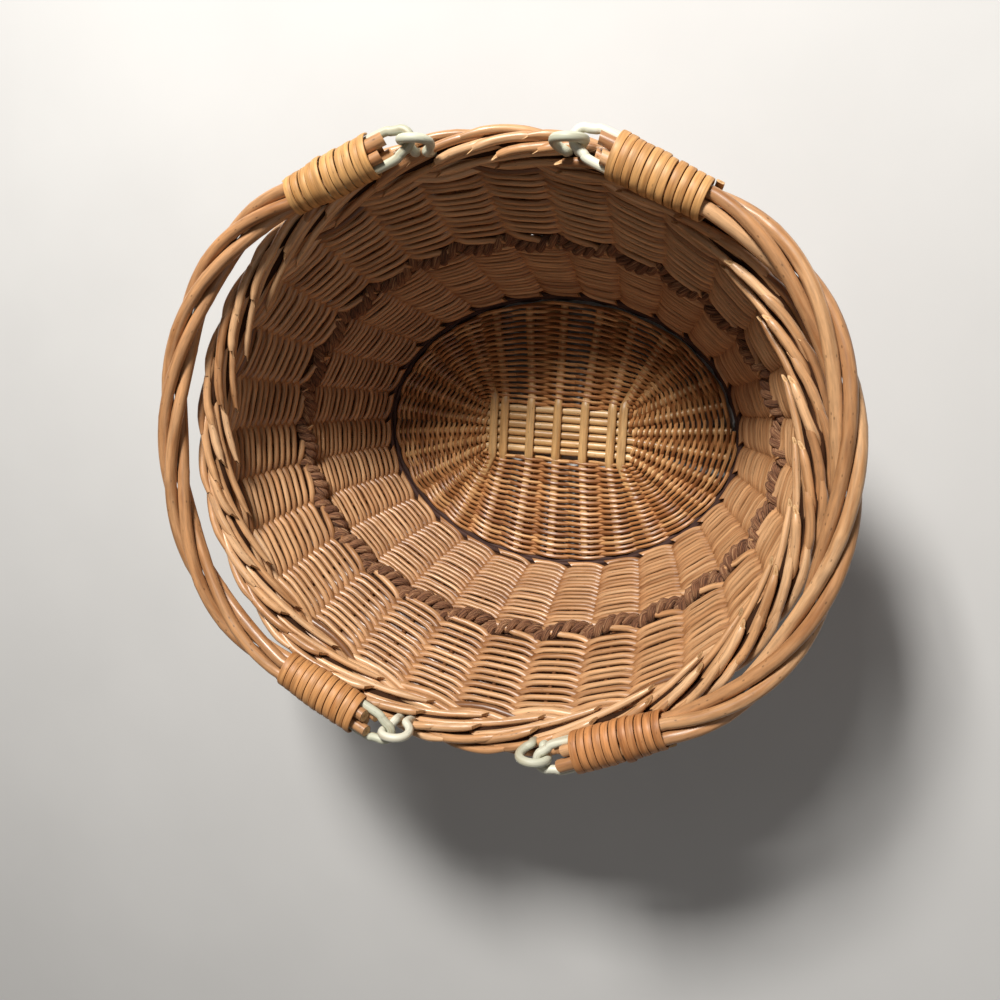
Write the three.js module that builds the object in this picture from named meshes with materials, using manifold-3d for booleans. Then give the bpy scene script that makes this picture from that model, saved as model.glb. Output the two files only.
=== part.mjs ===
// Gathering basket: an oval willow basket on a stick base, with a rope band and two swing handles.
// Millimetres, +Z up. The origin is the middle of the oval, on the floor that the basket stands on.

import * as THREE from 'three';
import { mergeVertices } from 'three/addons/utils/BufferGeometryUtils.js';
import Module from 'manifold-3d';

// The oval wall, measured to the middle of its thickness at the foot, the rope band and the rim
const BASE_HALF_LENGTH = 153;
const BASE_HALF_WIDTH = 115;
const BAND_HALF_LENGTH = 190;
const BAND_HALF_WIDTH = 151;
const RIM_HALF_LENGTH = 211;
const RIM_HALF_WIDTH = 200;

// Heights and thicknesses of the woven courses, from the floor up. Every course is thicker over the
// stakes: the walls, whose weavers cross between two stakes, by much, the others by little.
const FOOT_HEIGHT = 16;
const FOOT_THICKNESS = 12;
const LOWER_WALL_HEIGHT = 78;
const UPPER_WALL_HEIGHT = 60;
const WALL_THICKNESS = 4.4;
const WALL_FLUTE_DEPTH = 4;
const BAND_HEIGHT = 22;
const BAND_THICKNESS = 17;
const WALE_HEIGHT = 14;
const WALE_THICKNESS = 12;
const COURSE_BULGE = 1.2;
const FLUTE_DEPTH = 0.7;
const STAKES = 30;

// The base: crossed sticks, the window of the weave that shows them, and the weave around it
const BASE_THICKNESS = 12;
const SLATH_HALF_LENGTH = 63;
const SLATH_HALF_WIDTH = 25;
const LONG_STICKS = 6;
const LONG_STICK_WIDTH = 6;
const LONG_STICK_HEIGHT = 4.6;
const LONG_STICK_GAP = 0.9;
const CROSS_STICK_WIDTH = 7.3;
const CROSS_STICK_PLACES = [0, 23.4, 46.5, 56];
const SPLIT_WALL = 2.6;
const SPLIT_TAPER = 6;
const SWELL_TAPER = 12;
const CORNER_STICK_WIDTH = 6.5;
const CORNER_STICK_INSET = 7.5;
const STICK_SETBACK = 2.5;
const FAN_BEND = 0.05;

// The border of three rods laid round each other
const BORDER_RODS = 3;
const BORDER_ROD_RADIUS = 4.2;
const BORDER_TURNS = 10;

// The loops on the border and on the handles, bent from one round cane
const LOOP_RADIUS = 3;
const LOOP_NECK = 8.5;
const LOOP_SEAT = 0.9;
const LOOP_TAIL = 1;
const EYE_RADIUS = 9.5;
const EYE_LEAN = 5;
const EYE_UPRIGHT_FROM_DEG = -20;
const EYE_UPRIGHT_TO_DEG = 120;
const LINK_HALF_SPREAD = 59;
const LINK_OUTSET = 4;
const LINK_GAP = 0.6;

// The handles: four rods laid round each other, measured from the link along the straight ends
const HANDLE_RODS = 4;
const HANDLE_ROD_RADIUS = 4.2;
const HANDLE_TURNS = 1.5;
const HANDLE_OUTSET = 8;
const HANDLE_REACH = 16;
const HANDLE_EASE = 70;
const HANDLE_CROWN = 65;
const ROD_START = 9;
const ROD_STAGGER = 3;

// The binding of flat cane round each handle end
const BINDING_START = 19;
const BINDING_LOOPS = 11;
const BINDING_WIDTH = 5;
const BINDING_THICKNESS = 1.6;
const BINDING_PITCH = 5.65;
const LEG_LENGTH = 57;
const BINDING_TAPER = 18;

// Clear space between pieces that touch, and between rods that lie side by side
const CLEARANCE = 0.3;
const ROD_GAP = 0.4;

// Fineness of the facets
const WALL_STATIONS = 2 * STAKES;
const BORDER_STATIONS = 70;
const ARCH_STEPS = 24;
const BINDING_STEPS = 10;
const LONG_STICK_STEPS = 4;
const CROSS_STICK_STEPS = 8;
const STICK_SIDES = 6;
const ROD_SIDES = 6;
const LOOP_SIDES = 6;

const wasm = await Module();
wasm.setup();

const UP = new THREE.Vector3(0, 0, 1);
const STAKE_ANGLE = (2 * Math.PI) / STAKES;

// Levels of the courses
const baseZ = FOOT_HEIGHT / 2;
const lowerTop = FOOT_HEIGHT + LOWER_WALL_HEIGHT;
const bandTop = lowerTop + BAND_HEIGHT;
const upperTop = bandTop + UPPER_WALL_HEIGHT;
const waleTop = upperTop + WALE_HEIGHT;
const bandZ = (lowerTop + bandTop) / 2;

// The border rods keep their gap also halfway between two stations of their turn
const borderStep = (2 * Math.PI * BORDER_TURNS) / BORDER_STATIONS;
const borderSpacing = 2 * BORDER_ROD_RADIUS + ROD_GAP;
const borderOffset = borderSpacing / (2 * Math.sin(Math.PI / BORDER_RODS) * Math.cos(borderStep / 2));
const borderRadius = borderOffset + BORDER_ROD_RADIUS;
const borderZ = waleTop + CLEARANCE + borderRadius;

// Finds the value at z of the curve that passes the foot, the band and the rim
function wallCurve(z, atFoot, atBand, atRim) {
  const foot = (atFoot * (z - bandZ) * (z - borderZ)) / ((baseZ - bandZ) * (baseZ - borderZ));
  const band = (atBand * (z - baseZ) * (z - borderZ)) / ((bandZ - baseZ) * (bandZ - borderZ));
  const rim = (atRim * (z - baseZ) * (z - bandZ)) / ((borderZ - baseZ) * (borderZ - bandZ));
  return foot + band + rim;
}

// A point of the wall at a turn t round the oval, a height and an offset from the wall's middle
function wallPoint(t, offset, z) {
  const a = wallCurve(z, BASE_HALF_LENGTH, BAND_HALF_LENGTH, RIM_HALF_LENGTH);
  const b = wallCurve(z, BASE_HALF_WIDTH, BAND_HALF_WIDTH, RIM_HALF_WIDTH);
  const out = new THREE.Vector3(Math.cos(t) / a, Math.sin(t) / b, 0).normalize();
  return new THREE.Vector3(a * Math.cos(t), b * Math.sin(t), z).addScaledVector(out, offset);
}

// The width coordinate of the middle of the wall at a length coordinate and a height
function wallY(x, z) {
  const a = wallCurve(z, BASE_HALF_LENGTH, BAND_HALF_LENGTH, RIM_HALF_LENGTH);
  const b = wallCurve(z, BASE_HALF_WIDTH, BAND_HALF_WIDTH, RIM_HALF_WIDTH);
  return b * Math.sqrt(1 - (x / a) ** 2);
}

// Joins rings of points into one closed skin, back to the first ring or with flat ends.
// Each ring runs counterclockwise about the direction from ring to ring.
function skin(rings, endless) {
  const sides = rings[0].length;
  const spans = endless ? rings.length : rings.length - 1;
  const index = [];
  for (let i = 0; i < spans; i++) {
    const here = i * sides;
    const next = ((i + 1) % rings.length) * sides;
    for (let j = 0; j < sides; j++) {
      const k = (j + 1) % sides;
      index.push(here + j, here + k, next + k);
      index.push(here + j, next + k, next + j);
    }
  }
  if (!endless) {
    const last = (rings.length - 1) * sides;
    for (let j = 1; j < sides - 1; j++) {
      index.push(0, j + 1, j);
      index.push(last, last + j, last + j + 1);
    }
  }
  const points = rings.flat();
  const geometry = new THREE.BufferGeometry().setFromPoints(points);
  geometry.setIndex(index);
  return geometry;
}

// A curve whose steps fall on its points
class Route extends THREE.CatmullRomCurve3 {
  getUtoTmapping(u) {
    return u;
  }
}

// A round cane along a route, with a ring at each of its points
function cane(route, radius) {
  const corners = Array.from({ length: LOOP_SIDES }, (_, i) => {
    const turn = (2 * Math.PI * i) / LOOP_SIDES;
    return new THREE.Vector2(radius * Math.cos(turn), radius * Math.sin(turn));
  });
  const options = { steps: route.points.length - 1, extrudePath: route };
  return new THREE.ExtrudeGeometry(new THREE.Shape(corners), options);
}

// Solids for cutting, and the way back to a geometry
function solidOf(geometry) {
  const bare = geometry.clone();
  bare.deleteAttribute('normal');
  bare.deleteAttribute('uv');
  const merged = mergeVertices(bare);
  const vertProperties = new Float32Array(merged.attributes.position.array);
  const triVerts = new Uint32Array(merged.index.array);
  return new wasm.Manifold(new wasm.Mesh({ numProp: 3, vertProperties, triVerts }));
}

function geometryOf(solid) {
  const mesh = solid.getMesh();
  const geometry = new THREE.BufferGeometry();
  geometry.setAttribute('position', new THREE.BufferAttribute(mesh.vertProperties, 3));
  geometry.setIndex(new THREE.BufferAttribute(mesh.triVerts, 1));
  return geometry;
}

function cut(geometry, tools) {
  const body = tools.reduce((solid, tool) => solid.subtract(solidOf(tool)), solidOf(geometry));
  return geometryOf(body);
}

// Materials: peeled and brown willow, dark seagrass rope, pale cane loops and glossy binding cane
function material(color, roughness) {
  return new THREE.MeshStandardMaterial({ color, roughness, metalness: 0 });
}

const willow = () => material(0xc8935c, 0.6);
const paleWillow = () => material(0xdcb47a, 0.6);
const baseWillow = () => material(0xb47842, 0.65);
const darkStrand = () => material(0x543a38, 0.8);
const seagrass = () => material(0x6f4a33, 0.9);
const loopCane = () => material(0xcdcdbc, 0.45);
const bindingCane = () => material(0xbe7c46, 0.35);

const group = new THREE.Group();

function place(parent, name, geometry, finish) {
  const mesh = new THREE.Mesh(geometry, finish);
  mesh.name = name;
  parent.add(mesh);
}

// One course of the wall: an oval ring, thicker over the stakes, with a bulge for each row it shows
function course(bottom, top, thickness, flute, rows, bulge) {
  const rings = [];
  for (let i = 0; i < WALL_STATIONS; i++) {
    const t = STAKE_ANGLE / 2 + (2 * Math.PI * i) / WALL_STATIONS;
    const half = thickness / 2 + (i % 2 === 0 ? flute : 0);
    const levels = [];
    for (let k = 0; k <= 2 * rows; k++) {
      const z = bottom + ((top - bottom) * k) / (2 * rows);
      levels.push({ z, half: half + (k % 2 === 1 ? bulge : 0) });
    }
    const inner = levels.map((level) => wallPoint(t, -level.half, level.z));
    const outer = levels.map((level) => wallPoint(t, level.half, level.z));
    rings.push([...inner, ...outer.reverse()]);
  }
  return skin(rings, true);
}

// The foot is a plain ring with a flat underside to stand on and a round outer side
function footRing() {
  const half = FOOT_THICKNESS / 2;
  const rings = [];
  for (let i = 0; i < WALL_STATIONS; i++) {
    const t = STAKE_ANGLE / 2 + (2 * Math.PI * i) / WALL_STATIONS;
    const inner = [wallPoint(t, -half, 0), wallPoint(t, -half, FOOT_HEIGHT)];
    const outer = [wallPoint(t, half, FOOT_HEIGHT), wallPoint(t, half + COURSE_BULGE, baseZ)];
    rings.push([...inner, ...outer, wallPoint(t, half, 0)]);
  }
  return skin(rings, true);
}

// Base sticks lie parallel in the slath and fan out to the stakes. Each is a row of flat-sided rings.
function stick(route, steps, halfWidth, halfHeightAt) {
  const flat = Math.cos(Math.PI / STICK_SIDES);
  const rings = [];
  for (let i = 0; i <= steps; i++) {
    const centre = route.getPoint(i / steps);
    const along = route.getTangent(i / steps);
    const side = new THREE.Vector3().crossVectors(UP, along);
    const ring = [];
    for (let j = 0; j < STICK_SIDES; j++) {
      const turn = (2 * Math.PI * (j + 0.5)) / STICK_SIDES;
      const wide = (halfWidth * Math.cos(turn)) / flat;
      const high = halfHeightAt(centre) * Math.sin(turn);
      ring.push(centre.clone().addScaledVector(side, wide).addScaledVector(UP, high));
    }
    rings.push(ring);
  }
  return skin(rings, false);
}

// Where a stick that comes from a point ends, short of the edge of the base, beside the stake at turn t
function stickEnd(from, t, setback) {
  const edge = wallPoint(t, -FOOT_THICKNESS / 2 - CLEARANCE, baseZ);
  const back = from.clone().sub(edge).normalize();
  return edge.addScaledVector(back, setback);
}

function basePoint(x, y) {
  return new THREE.Vector3(x, y, baseZ);
}

// Straight through the slath, with a tight bend where the fan begins
function fannedRoute(middle, firstTurn, lastTurn, setback) {
  const first = stickEnd(middle[0], firstTurn, setback);
  const last = stickEnd(middle[middle.length - 1], lastTurn, setback);
  return new THREE.CatmullRomCurve3([first, ...middle, last], false, 'catmullrom', FAN_BEND);
}

const longPitch = LONG_STICK_WIDTH + LONG_STICK_GAP;
const splitHalf = (LONG_STICKS * longPitch) / 2;
const splitHeight = LONG_STICK_HEIGHT / 2 + CLEARANCE;

function longStick(number, setback, grow) {
  const row = number - (LONG_STICKS - 1) / 2;
  const y = row * longPitch;
  const t = row * STAKE_ANGLE;
  const middle = [-SLATH_HALF_LENGTH, 0, SLATH_HALF_LENGTH].map((x) => basePoint(x, y));
  const route = fannedRoute(middle, Math.PI - t, t, setback);
  return stick(route, LONG_STICK_STEPS, LONG_STICK_WIDTH / 2 + grow, () => LONG_STICK_HEIGHT / 2 + grow);
}

// A cross stick swells round the split that the long sticks pass through
function crossStick(x, t, setback, grow) {
  const middle = [-SLATH_HALF_WIDTH, 0, SLATH_HALF_WIDTH].map((y) => basePoint(x, y));
  const route = fannedRoute(middle, -t, t, setback);
  const round = CROSS_STICK_WIDTH / 2;
  const swollen = splitHeight + SPLIT_WALL;
  const halfHeightAt = (point) => {
    const away = THREE.MathUtils.smoothstep(Math.abs(point.y), splitHalf, splitHalf + SWELL_TAPER);
    return THREE.MathUtils.lerp(swollen, round, away) + grow;
  };
  return stick(route, CROSS_STICK_STEPS, round + grow, halfHeightAt);
}

// The split closes to an edge at each end
function split(x) {
  const long = splitHalf + CLEARANCE;
  const corners = [
    new THREE.Vector2(-long - SPLIT_TAPER, 0),
    new THREE.Vector2(-long, -splitHeight),
    new THREE.Vector2(long, -splitHeight),
    new THREE.Vector2(long + SPLIT_TAPER, 0),
    new THREE.Vector2(long, splitHeight),
    new THREE.Vector2(-long, splitHeight),
  ];
  const depth = 2 * CROSS_STICK_WIDTH;
  const geometry = new THREE.ExtrudeGeometry(new THREE.Shape(corners), { depth, bevelEnabled: false });
  geometry.translate(0, 0, -depth / 2);
  geometry.rotateX(Math.PI / 2);
  geometry.rotateZ(Math.PI / 2);
  geometry.translate(x, 0, baseZ);
  return geometry;
}

// Where a stick that is let into the weave starts, drawn back by the clearance of its channel
function stickStart(start, end, back) {
  const along = end.clone().sub(start).normalize();
  return start.clone().addScaledVector(along, -back);
}

// A corner stick is let in at each corner of the slath
function cornerStick(t, setback, grow) {
  const sideX = Math.sign(Math.cos(t));
  const sideY = Math.sign(Math.sin(t));
  const startX = sideX * (SLATH_HALF_LENGTH + CORNER_STICK_INSET);
  const startY = sideY * (SLATH_HALF_WIDTH + CORNER_STICK_INSET);
  const end = stickEnd(basePoint(startX, startY), t, setback);
  const start = stickStart(basePoint(startX, startY), end, grow);
  const route = new THREE.LineCurve3(start, end);
  const half = CORNER_STICK_WIDTH / 2 + grow;
  return stick(route, 1, half, () => half);
}

// The woven base: an oval plate with a window over the slath and a channel for each stick
function baseWeave(channels) {
  const low = baseZ - BASE_THICKNESS / 2;
  const high = baseZ + BASE_THICKNESS / 2;
  const edge = -FOOT_THICKNESS / 2 - CLEARANCE;
  const squareness = 0.5;
  const rings = [];
  for (let i = 0; i < STAKES; i++) {
    const t = STAKE_ANGLE * i;
    const x = SLATH_HALF_LENGTH * Math.sign(Math.cos(t)) * Math.abs(Math.cos(t)) ** squareness;
    const y = SLATH_HALF_WIDTH * Math.sign(Math.sin(t)) * Math.abs(Math.sin(t)) ** squareness;
    const inner = [new THREE.Vector3(x, y, low), new THREE.Vector3(x, y, high)];
    rings.push([...inner, wallPoint(t, edge, high), wallPoint(t, edge, low)]);
  }
  return cut(skin(rings, true), channels);
}

function addBase() {
  const pastEdge = -2 * STICK_SETBACK;
  const channels = [];
  for (let number = 0; number < LONG_STICKS; number++) {
    place(group, `long_stick_${number + 1}`, longStick(number, STICK_SETBACK, 0), paleWillow());
    channels.push(longStick(number, pastEdge, CLEARANCE));
  }
  const reach = CROSS_STICK_PLACES.length - 1;
  for (let number = -reach; number <= reach; number++) {
    const x = Math.sign(number) * CROSS_STICK_PLACES[Math.abs(number)];
    const t = Math.PI / 2 - number * STAKE_ANGLE;
    const whole = crossStick(x, t, STICK_SETBACK, 0);
    place(group, `cross_stick_${number + reach + 1}`, cut(whole, [split(x)]), paleWillow());
    channels.push(crossStick(x, t, pastEdge, CLEARANCE));
  }
  const corner = Math.PI / 2 - (reach + 1) * STAKE_ANGLE;
  [corner, Math.PI - corner, Math.PI + corner, -corner].forEach((t, i) => {
    place(group, `corner_stick_${i + 1}`, cornerStick(t, STICK_SETBACK, 0), paleWillow());
    channels.push(cornerStick(t, pastEdge, CLEARANCE));
  });
  place(group, 'base_weave', baseWeave(channels), baseWillow());
}

// Three rods laid round each other make the border
function addBorder() {
  for (let rod = 0; rod < BORDER_RODS; rod++) {
    const rings = [];
    for (let i = 0; i < BORDER_STATIONS; i++) {
      const t = (2 * Math.PI * i) / BORDER_STATIONS;
      const turn = BORDER_TURNS * t + (2 * Math.PI * rod) / BORDER_RODS;
      const ring = [];
      for (let j = 0; j < ROD_SIDES; j++) {
        const corner = (-2 * Math.PI * j) / ROD_SIDES;
        const out = borderOffset * Math.cos(turn) + BORDER_ROD_RADIUS * Math.cos(corner);
        const high = borderOffset * Math.sin(turn) + BORDER_ROD_RADIUS * Math.sin(corner);
        ring.push(wallPoint(t, out, borderZ).addScaledVector(UP, high));
      }
      rings.push(ring);
    }
    place(group, `border_rod_${rod + 1}`, skin(rings, true), willow());
  }
}

// The handle rods keep their gap also halfway between two steps of their turn
const handleStep = (2 * Math.PI * HANDLE_TURNS) / ARCH_STEPS;
const rodSpacing = 2 * HANDLE_ROD_RADIUS + ROD_GAP;
const rodOffset = rodSpacing / (2 * Math.sin(Math.PI / HANDLE_RODS) * Math.cos(handleStep / 2));
const bundleRadius = rodOffset + HANDLE_ROD_RADIUS;

// The legs of a handle loop lie in two opposite grooves between the rods, under the binding
const grooveSide = rodOffset * Math.SQRT1_2;
const legSpacing = HANDLE_ROD_RADIUS + LOOP_RADIUS + CLEARANCE;
const groove = grooveSide + Math.sqrt(legSpacing ** 2 - grooveSide ** 2);

// The binding clears the legs and the rods also between two of its steps
const stepFlat = Math.cos(Math.PI / BINDING_STEPS);
const bindingLong = (groove + LOOP_RADIUS + CLEARANCE) / stepFlat;
const bindingRound = (bundleRadius + CLEARANCE) / stepFlat;
const bindingEnd = BINDING_START + BINDING_LOOPS * BINDING_PITCH + BINDING_WIDTH;

// The straight end of a handle: along it, away from the basket, and up
function handleAxes(lean) {
  const along = new THREE.Vector3(Math.cos(lean), -Math.sin(lean), 0);
  const away = new THREE.Vector3().crossVectors(UP, along);
  return { along, away };
}

// Half the size of the binding at a turn about the handle. The legs lie at 0 and 180 degrees.
function bindingRadius(turn, distance) {
  const taper = THREE.MathUtils.smoothstep(distance, LEG_LENGTH, LEG_LENGTH + BINDING_TAPER);
  const long = THREE.MathUtils.lerp(bindingLong, bindingRound, taper);
  return (long * bindingRound) / Math.hypot(bindingRound * Math.cos(turn), long * Math.sin(turn));
}

// The link of the two loops stands outside the middle of the border, and so does the binding's far end
const linkY = wallY(LINK_HALF_SPREAD, borderZ) + LINK_OUTSET;

// Halves a range until it closes on the last value that is still open
function lastOpen(from, to, isOpen) {
  let open = from;
  let closed = to;
  for (let i = 0; i < 30; i++) {
    const middle = (open + closed) / 2;
    if (isOpen(middle)) {
      open = middle;
    } else {
      closed = middle;
    }
  }
  return open;
}

function bindingOutset(lean) {
  const x = LINK_HALF_SPREAD + bindingEnd * Math.cos(lean);
  return linkY - bindingEnd * Math.sin(lean) - wallY(x, borderZ);
}

const handleLean = lastOpen(0, Math.PI / 3, (lean) => bindingOutset(lean) > HANDLE_OUTSET);
const { along: handleAlong, away: handleAway } = handleAxes(handleLean);

// The least space between the binding and the border for a height of the handle
function bindingSpace(height) {
  const samples = 24;
  const space = new THREE.Vector3();
  let least = Infinity;
  for (let i = 0; i <= samples; i++) {
    const distance = THREE.MathUtils.lerp(BINDING_START, bindingEnd, i / samples);
    const centre = new THREE.Vector3(LINK_HALF_SPREAD, linkY, height).addScaledVector(handleAlong, distance);
    for (let k = 0; k < WALL_STATIONS; k++) {
      const t = (Math.PI / 2) * (k / WALL_STATIONS);
      space.subVectors(wallPoint(t, 0, borderZ), centre);
      const turn = Math.atan2(space.z, space.dot(handleAway));
      const thick = bindingRadius(turn, distance) + BINDING_THICKNESS;
      least = Math.min(least, space.length() - thick - borderRadius);
    }
  }
  return least;
}

// The bindings rest on the border, which gives the link its height
const bindingTop = borderZ + borderRadius + 2 * (bindingLong + BINDING_THICKNESS);
const handleZ = lastOpen(bindingTop, borderZ, (height) => bindingSpace(height) > CLEARANCE);
const link = new THREE.Vector3(LINK_HALF_SPREAD, linkY, handleZ);

// A border loop passes through the top wale, comes up inside the border and stands on it as a round
// eye. The handle's loop slides round the eye, so the middle of the eye is the hinge.
const loopHoleZ = upperTop + WALE_HEIGHT / 2;
const waleHalf = WALE_THICKNESS / 2 + FLUTE_DEPTH + COURSE_BULGE;
const loopSeat = borderRadius + LOOP_SEAT + LOOP_RADIUS;
const neckTurn = Math.acos(LOOP_NECK / (2 * EYE_RADIUS));
const hingeZ = borderZ + loopSeat + EYE_RADIUS * Math.sin(neckTurn);
const hingeX = LINK_HALF_SPREAD - Math.sqrt(EYE_RADIUS ** 2 - (handleZ - hingeZ) ** 2);

function loopLeg(x) {
  const holeY = wallY(x, loopHoleZ);
  const borderY = wallY(x, borderZ);
  const lastTurn = Math.acos((linkY - EYE_LEAN - borderY) / loopSeat);
  const points = [
    new THREE.Vector3(x, holeY + waleHalf + LOOP_TAIL, loopHoleZ),
    new THREE.Vector3(x, holeY, loopHoleZ),
  ];
  const steps = 4;
  for (let i = 0; i < steps; i++) {
    const turn = THREE.MathUtils.lerp(Math.PI, lastTurn, i / steps);
    const high = (loopSeat * Math.sin(turn)) / Math.sin(lastTurn);
    points.push(new THREE.Vector3(x, borderY + loopSeat * Math.cos(turn), borderZ + high));
  }
  return points;
}

// The eye is upright where the handle's loop slides, and leans in to the legs at its two ends
function loopRoute(sideX, sideY) {
  const from = THREE.MathUtils.degToRad(EYE_UPRIGHT_FROM_DEG);
  const to = THREE.MathUtils.degToRad(EYE_UPRIGHT_TO_DEG);
  const points = loopLeg(hingeX + LOOP_NECK / 2);
  const steps = 12;
  for (let i = 0; i <= steps; i++) {
    const turn = THREE.MathUtils.lerp(-neckTurn, Math.PI + neckTurn, i / steps);
    const before = (from - turn) / (from + neckTurn);
    const after = (turn - to) / (Math.PI + neckTurn - to);
    const y = linkY - EYE_LEAN * Math.max(before, after, 0) ** 2;
    const x = hingeX + EYE_RADIUS * Math.cos(turn);
    points.push(new THREE.Vector3(x, y, hingeZ + EYE_RADIUS * Math.sin(turn)));
  }
  points.push(...loopLeg(hingeX - LOOP_NECK / 2).reverse());
  points.forEach((point) => point.multiply(new THREE.Vector3(sideX, sideY, 1)));
  return new Route(points);
}

function addWalls() {
  const above = (level) => level + CLEARANCE;
  place(group, 'foot_wale', footRing(), darkStrand());
  const lower = course(above(FOOT_HEIGHT), lowerTop, WALL_THICKNESS, WALL_FLUTE_DEPTH, 1, 0);
  place(group, 'lower_wall', lower, willow());
  const band = course(above(lowerTop), bandTop, BAND_THICKNESS, FLUTE_DEPTH, 2, COURSE_BULGE);
  place(group, 'rope_band', band, seagrass());
  const upper = course(above(bandTop), upperTop, WALL_THICKNESS, WALL_FLUTE_DEPTH, 1, 0);
  place(group, 'upper_wall', upper, willow());
  const corners = { front_left: [-1, -1], front_right: [1, -1], back_left: [-1, 1], back_right: [1, 1] };
  const holes = [];
  for (const [corner, sides] of Object.entries(corners)) {
    const route = loopRoute(...sides);
    place(group, `border_loop_${corner}`, cane(route, LOOP_RADIUS), loopCane());
    holes.push(cane(route, LOOP_RADIUS + CLEARANCE));
  }
  const wale = course(above(upperTop), waleTop, WALE_THICKNESS, FLUTE_DEPTH, 2, COURSE_BULGE);
  place(group, 'top_wale', cut(wale, holes), willow());
}

// The middle line of the right handle: its arch from one binding's end to the other
function handleArch() {
  const start = link.clone().addScaledVector(handleAlong, bindingEnd);
  const ease = start.clone().addScaledVector(handleAlong, HANDLE_EASE);
  const apexX = RIM_HALF_LENGTH + HANDLE_REACH;
  const crown = new THREE.Vector3(apexX, HANDLE_CROWN, handleZ);
  const apex = new THREE.Vector3(apexX, 0, handleZ);
  const flip = (point) => point.clone().multiply(new THREE.Vector3(1, -1, 1));
  const arch = new THREE.CurvePath();
  arch.add(new THREE.CubicBezierCurve3(start, ease, crown, apex));
  arch.add(new THREE.CubicBezierCurve3(apex, flip(crown), flip(ease), flip(start)));
  return arch;
}

// One ring of a handle rod at a place on the handle's middle line
function rodRing(centre, along, turn) {
  const side = new THREE.Vector3().crossVectors(UP, along);
  const ring = [];
  for (let j = 0; j < ROD_SIDES; j++) {
    const corner = (2 * Math.PI * j) / ROD_SIDES;
    const wide = rodOffset * Math.cos(turn) + HANDLE_ROD_RADIUS * Math.cos(corner);
    const high = rodOffset * Math.sin(turn) + HANDLE_ROD_RADIUS * Math.sin(corner);
    ring.push(centre.clone().addScaledVector(side, wide).addScaledVector(UP, high));
  }
  return ring;
}

// A handle rod runs straight under both bindings and winds round the others along the arch
function handleRod(number, arch) {
  const firstTurn = (2 * Math.PI * (number + 0.5)) / HANDLE_RODS;
  const stagger = ROD_STAGGER * (number % 2);
  const rings = [];
  const straight = arch.getPointAt(0).distanceTo(link) - ROD_START - stagger;
  rings.push(rodRing(arch.getPointAt(0).addScaledVector(handleAlong, -straight), handleAlong, firstTurn));
  for (let i = 0; i <= ARCH_STEPS; i++) {
    const u = i / ARCH_STEPS;
    rings.push(rodRing(arch.getPointAt(u), arch.getTangentAt(u), firstTurn + handleStep * i));
  }
  const backAlong = arch.getTangentAt(1);
  const last = arch.getPointAt(1).addScaledVector(backAlong, straight);
  rings.push(rodRing(last, backAlong, firstTurn + handleStep * ARCH_STEPS));
  return skin(rings, false);
}

// A handle loop: one leg along a groove, a half turn round the cane of the eye, and the other leg back
function handleLoop(sideY) {
  const turnRadius = 2 * LOOP_RADIUS + LINK_GAP;
  const legPoint = (distance, side) => link
    .clone()
    .addScaledVector(handleAlong, distance)
    .addScaledVector(handleAway, side * groove);
  const turnPoint = (turn) => link
    .clone()
    .addScaledVector(handleAlong, -turnRadius * Math.sin(turn))
    .addScaledVector(handleAway, turnRadius * Math.cos(turn));
  const points = [legPoint(LEG_LENGTH, 1), legPoint(ROD_START, 1)];
  points.push(legPoint(ROD_START, 1).lerp(turnPoint(0), 0.55));
  const steps = 6;
  for (let i = 0; i <= steps; i++) {
    points.push(turnPoint((Math.PI * i) / steps));
  }
  points.push(legPoint(ROD_START, -1).lerp(turnPoint(Math.PI), 0.55));
  points.push(legPoint(ROD_START, -1), legPoint(LEG_LENGTH, -1));
  points.forEach((point) => point.multiply(new THREE.Vector3(1, sideY, 1)));
  return cane(new Route(points), LOOP_RADIUS);
}

// The least distance between points of the strip that are more than half a loop apart
function leastGap(rings) {
  let least = Infinity;
  for (let i = 0; i < rings.length; i++) {
    for (let k = i + BINDING_STEPS / 2 + 1; k < rings.length; k++) {
      for (const near of rings[i]) {
        for (const far of rings[k]) {
          least = Math.min(least, near.distanceTo(far));
        }
      }
    }
  }
  return least;
}

// The binding: one unbroken strip wound from the rods' cut ends towards the arch
function binding(sideY) {
  const steps = BINDING_LOOPS * BINDING_STEPS;
  const rings = [];
  for (let i = 0; i <= steps; i++) {
    const turn = (2 * Math.PI * i) / BINDING_STEPS;
    const distance = BINDING_START + BINDING_WIDTH / 2 + (BINDING_PITCH * i) / BINDING_STEPS;
    const out = handleAway.clone().multiplyScalar(Math.cos(turn)).addScaledVector(UP, Math.sin(turn));
    const inner = bindingRadius(turn, distance);
    const corner = (shift, radius) => link
      .clone()
      .addScaledVector(handleAlong, distance + shift)
      .addScaledVector(out, radius)
      .multiply(new THREE.Vector3(1, sideY, 1));
    const half = BINDING_WIDTH / 2;
    const outer = inner + BINDING_THICKNESS;
    const ring = [corner(-half, inner), corner(half, inner), corner(half, outer), corner(-half, outer)];
    rings.push(sideY > 0 ? ring : ring.reverse());
  }
  console.log(`binding: least gap of the strip to itself ${leastGap(rings).toFixed(2)} mm`);
  return skin(rings, false);
}

// The left handle is the right one turned half round
function addHandle(side, quarterTurns, ends) {
  const handle = new THREE.Group();
  handle.rotation.z = quarterTurns;
  group.add(handle);
  const arch = handleArch();
  for (let number = 0; number < HANDLE_RODS; number++) {
    place(handle, `${side}_handle_rod_${number + 1}`, handleRod(number, arch), willow());
  }
  for (const [end, sideY] of Object.entries(ends)) {
    place(handle, `${side}_handle_loop_${end}`, handleLoop(sideY), loopCane());
    place(handle, `${side}_binding_${end}`, binding(sideY), bindingCane());
  }
}

addBase();
addWalls();
addBorder();
addHandle('right', 0, { back: 1, front: -1 });
addHandle('left', Math.PI, { back: -1, front: 1 });

export default group;
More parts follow.
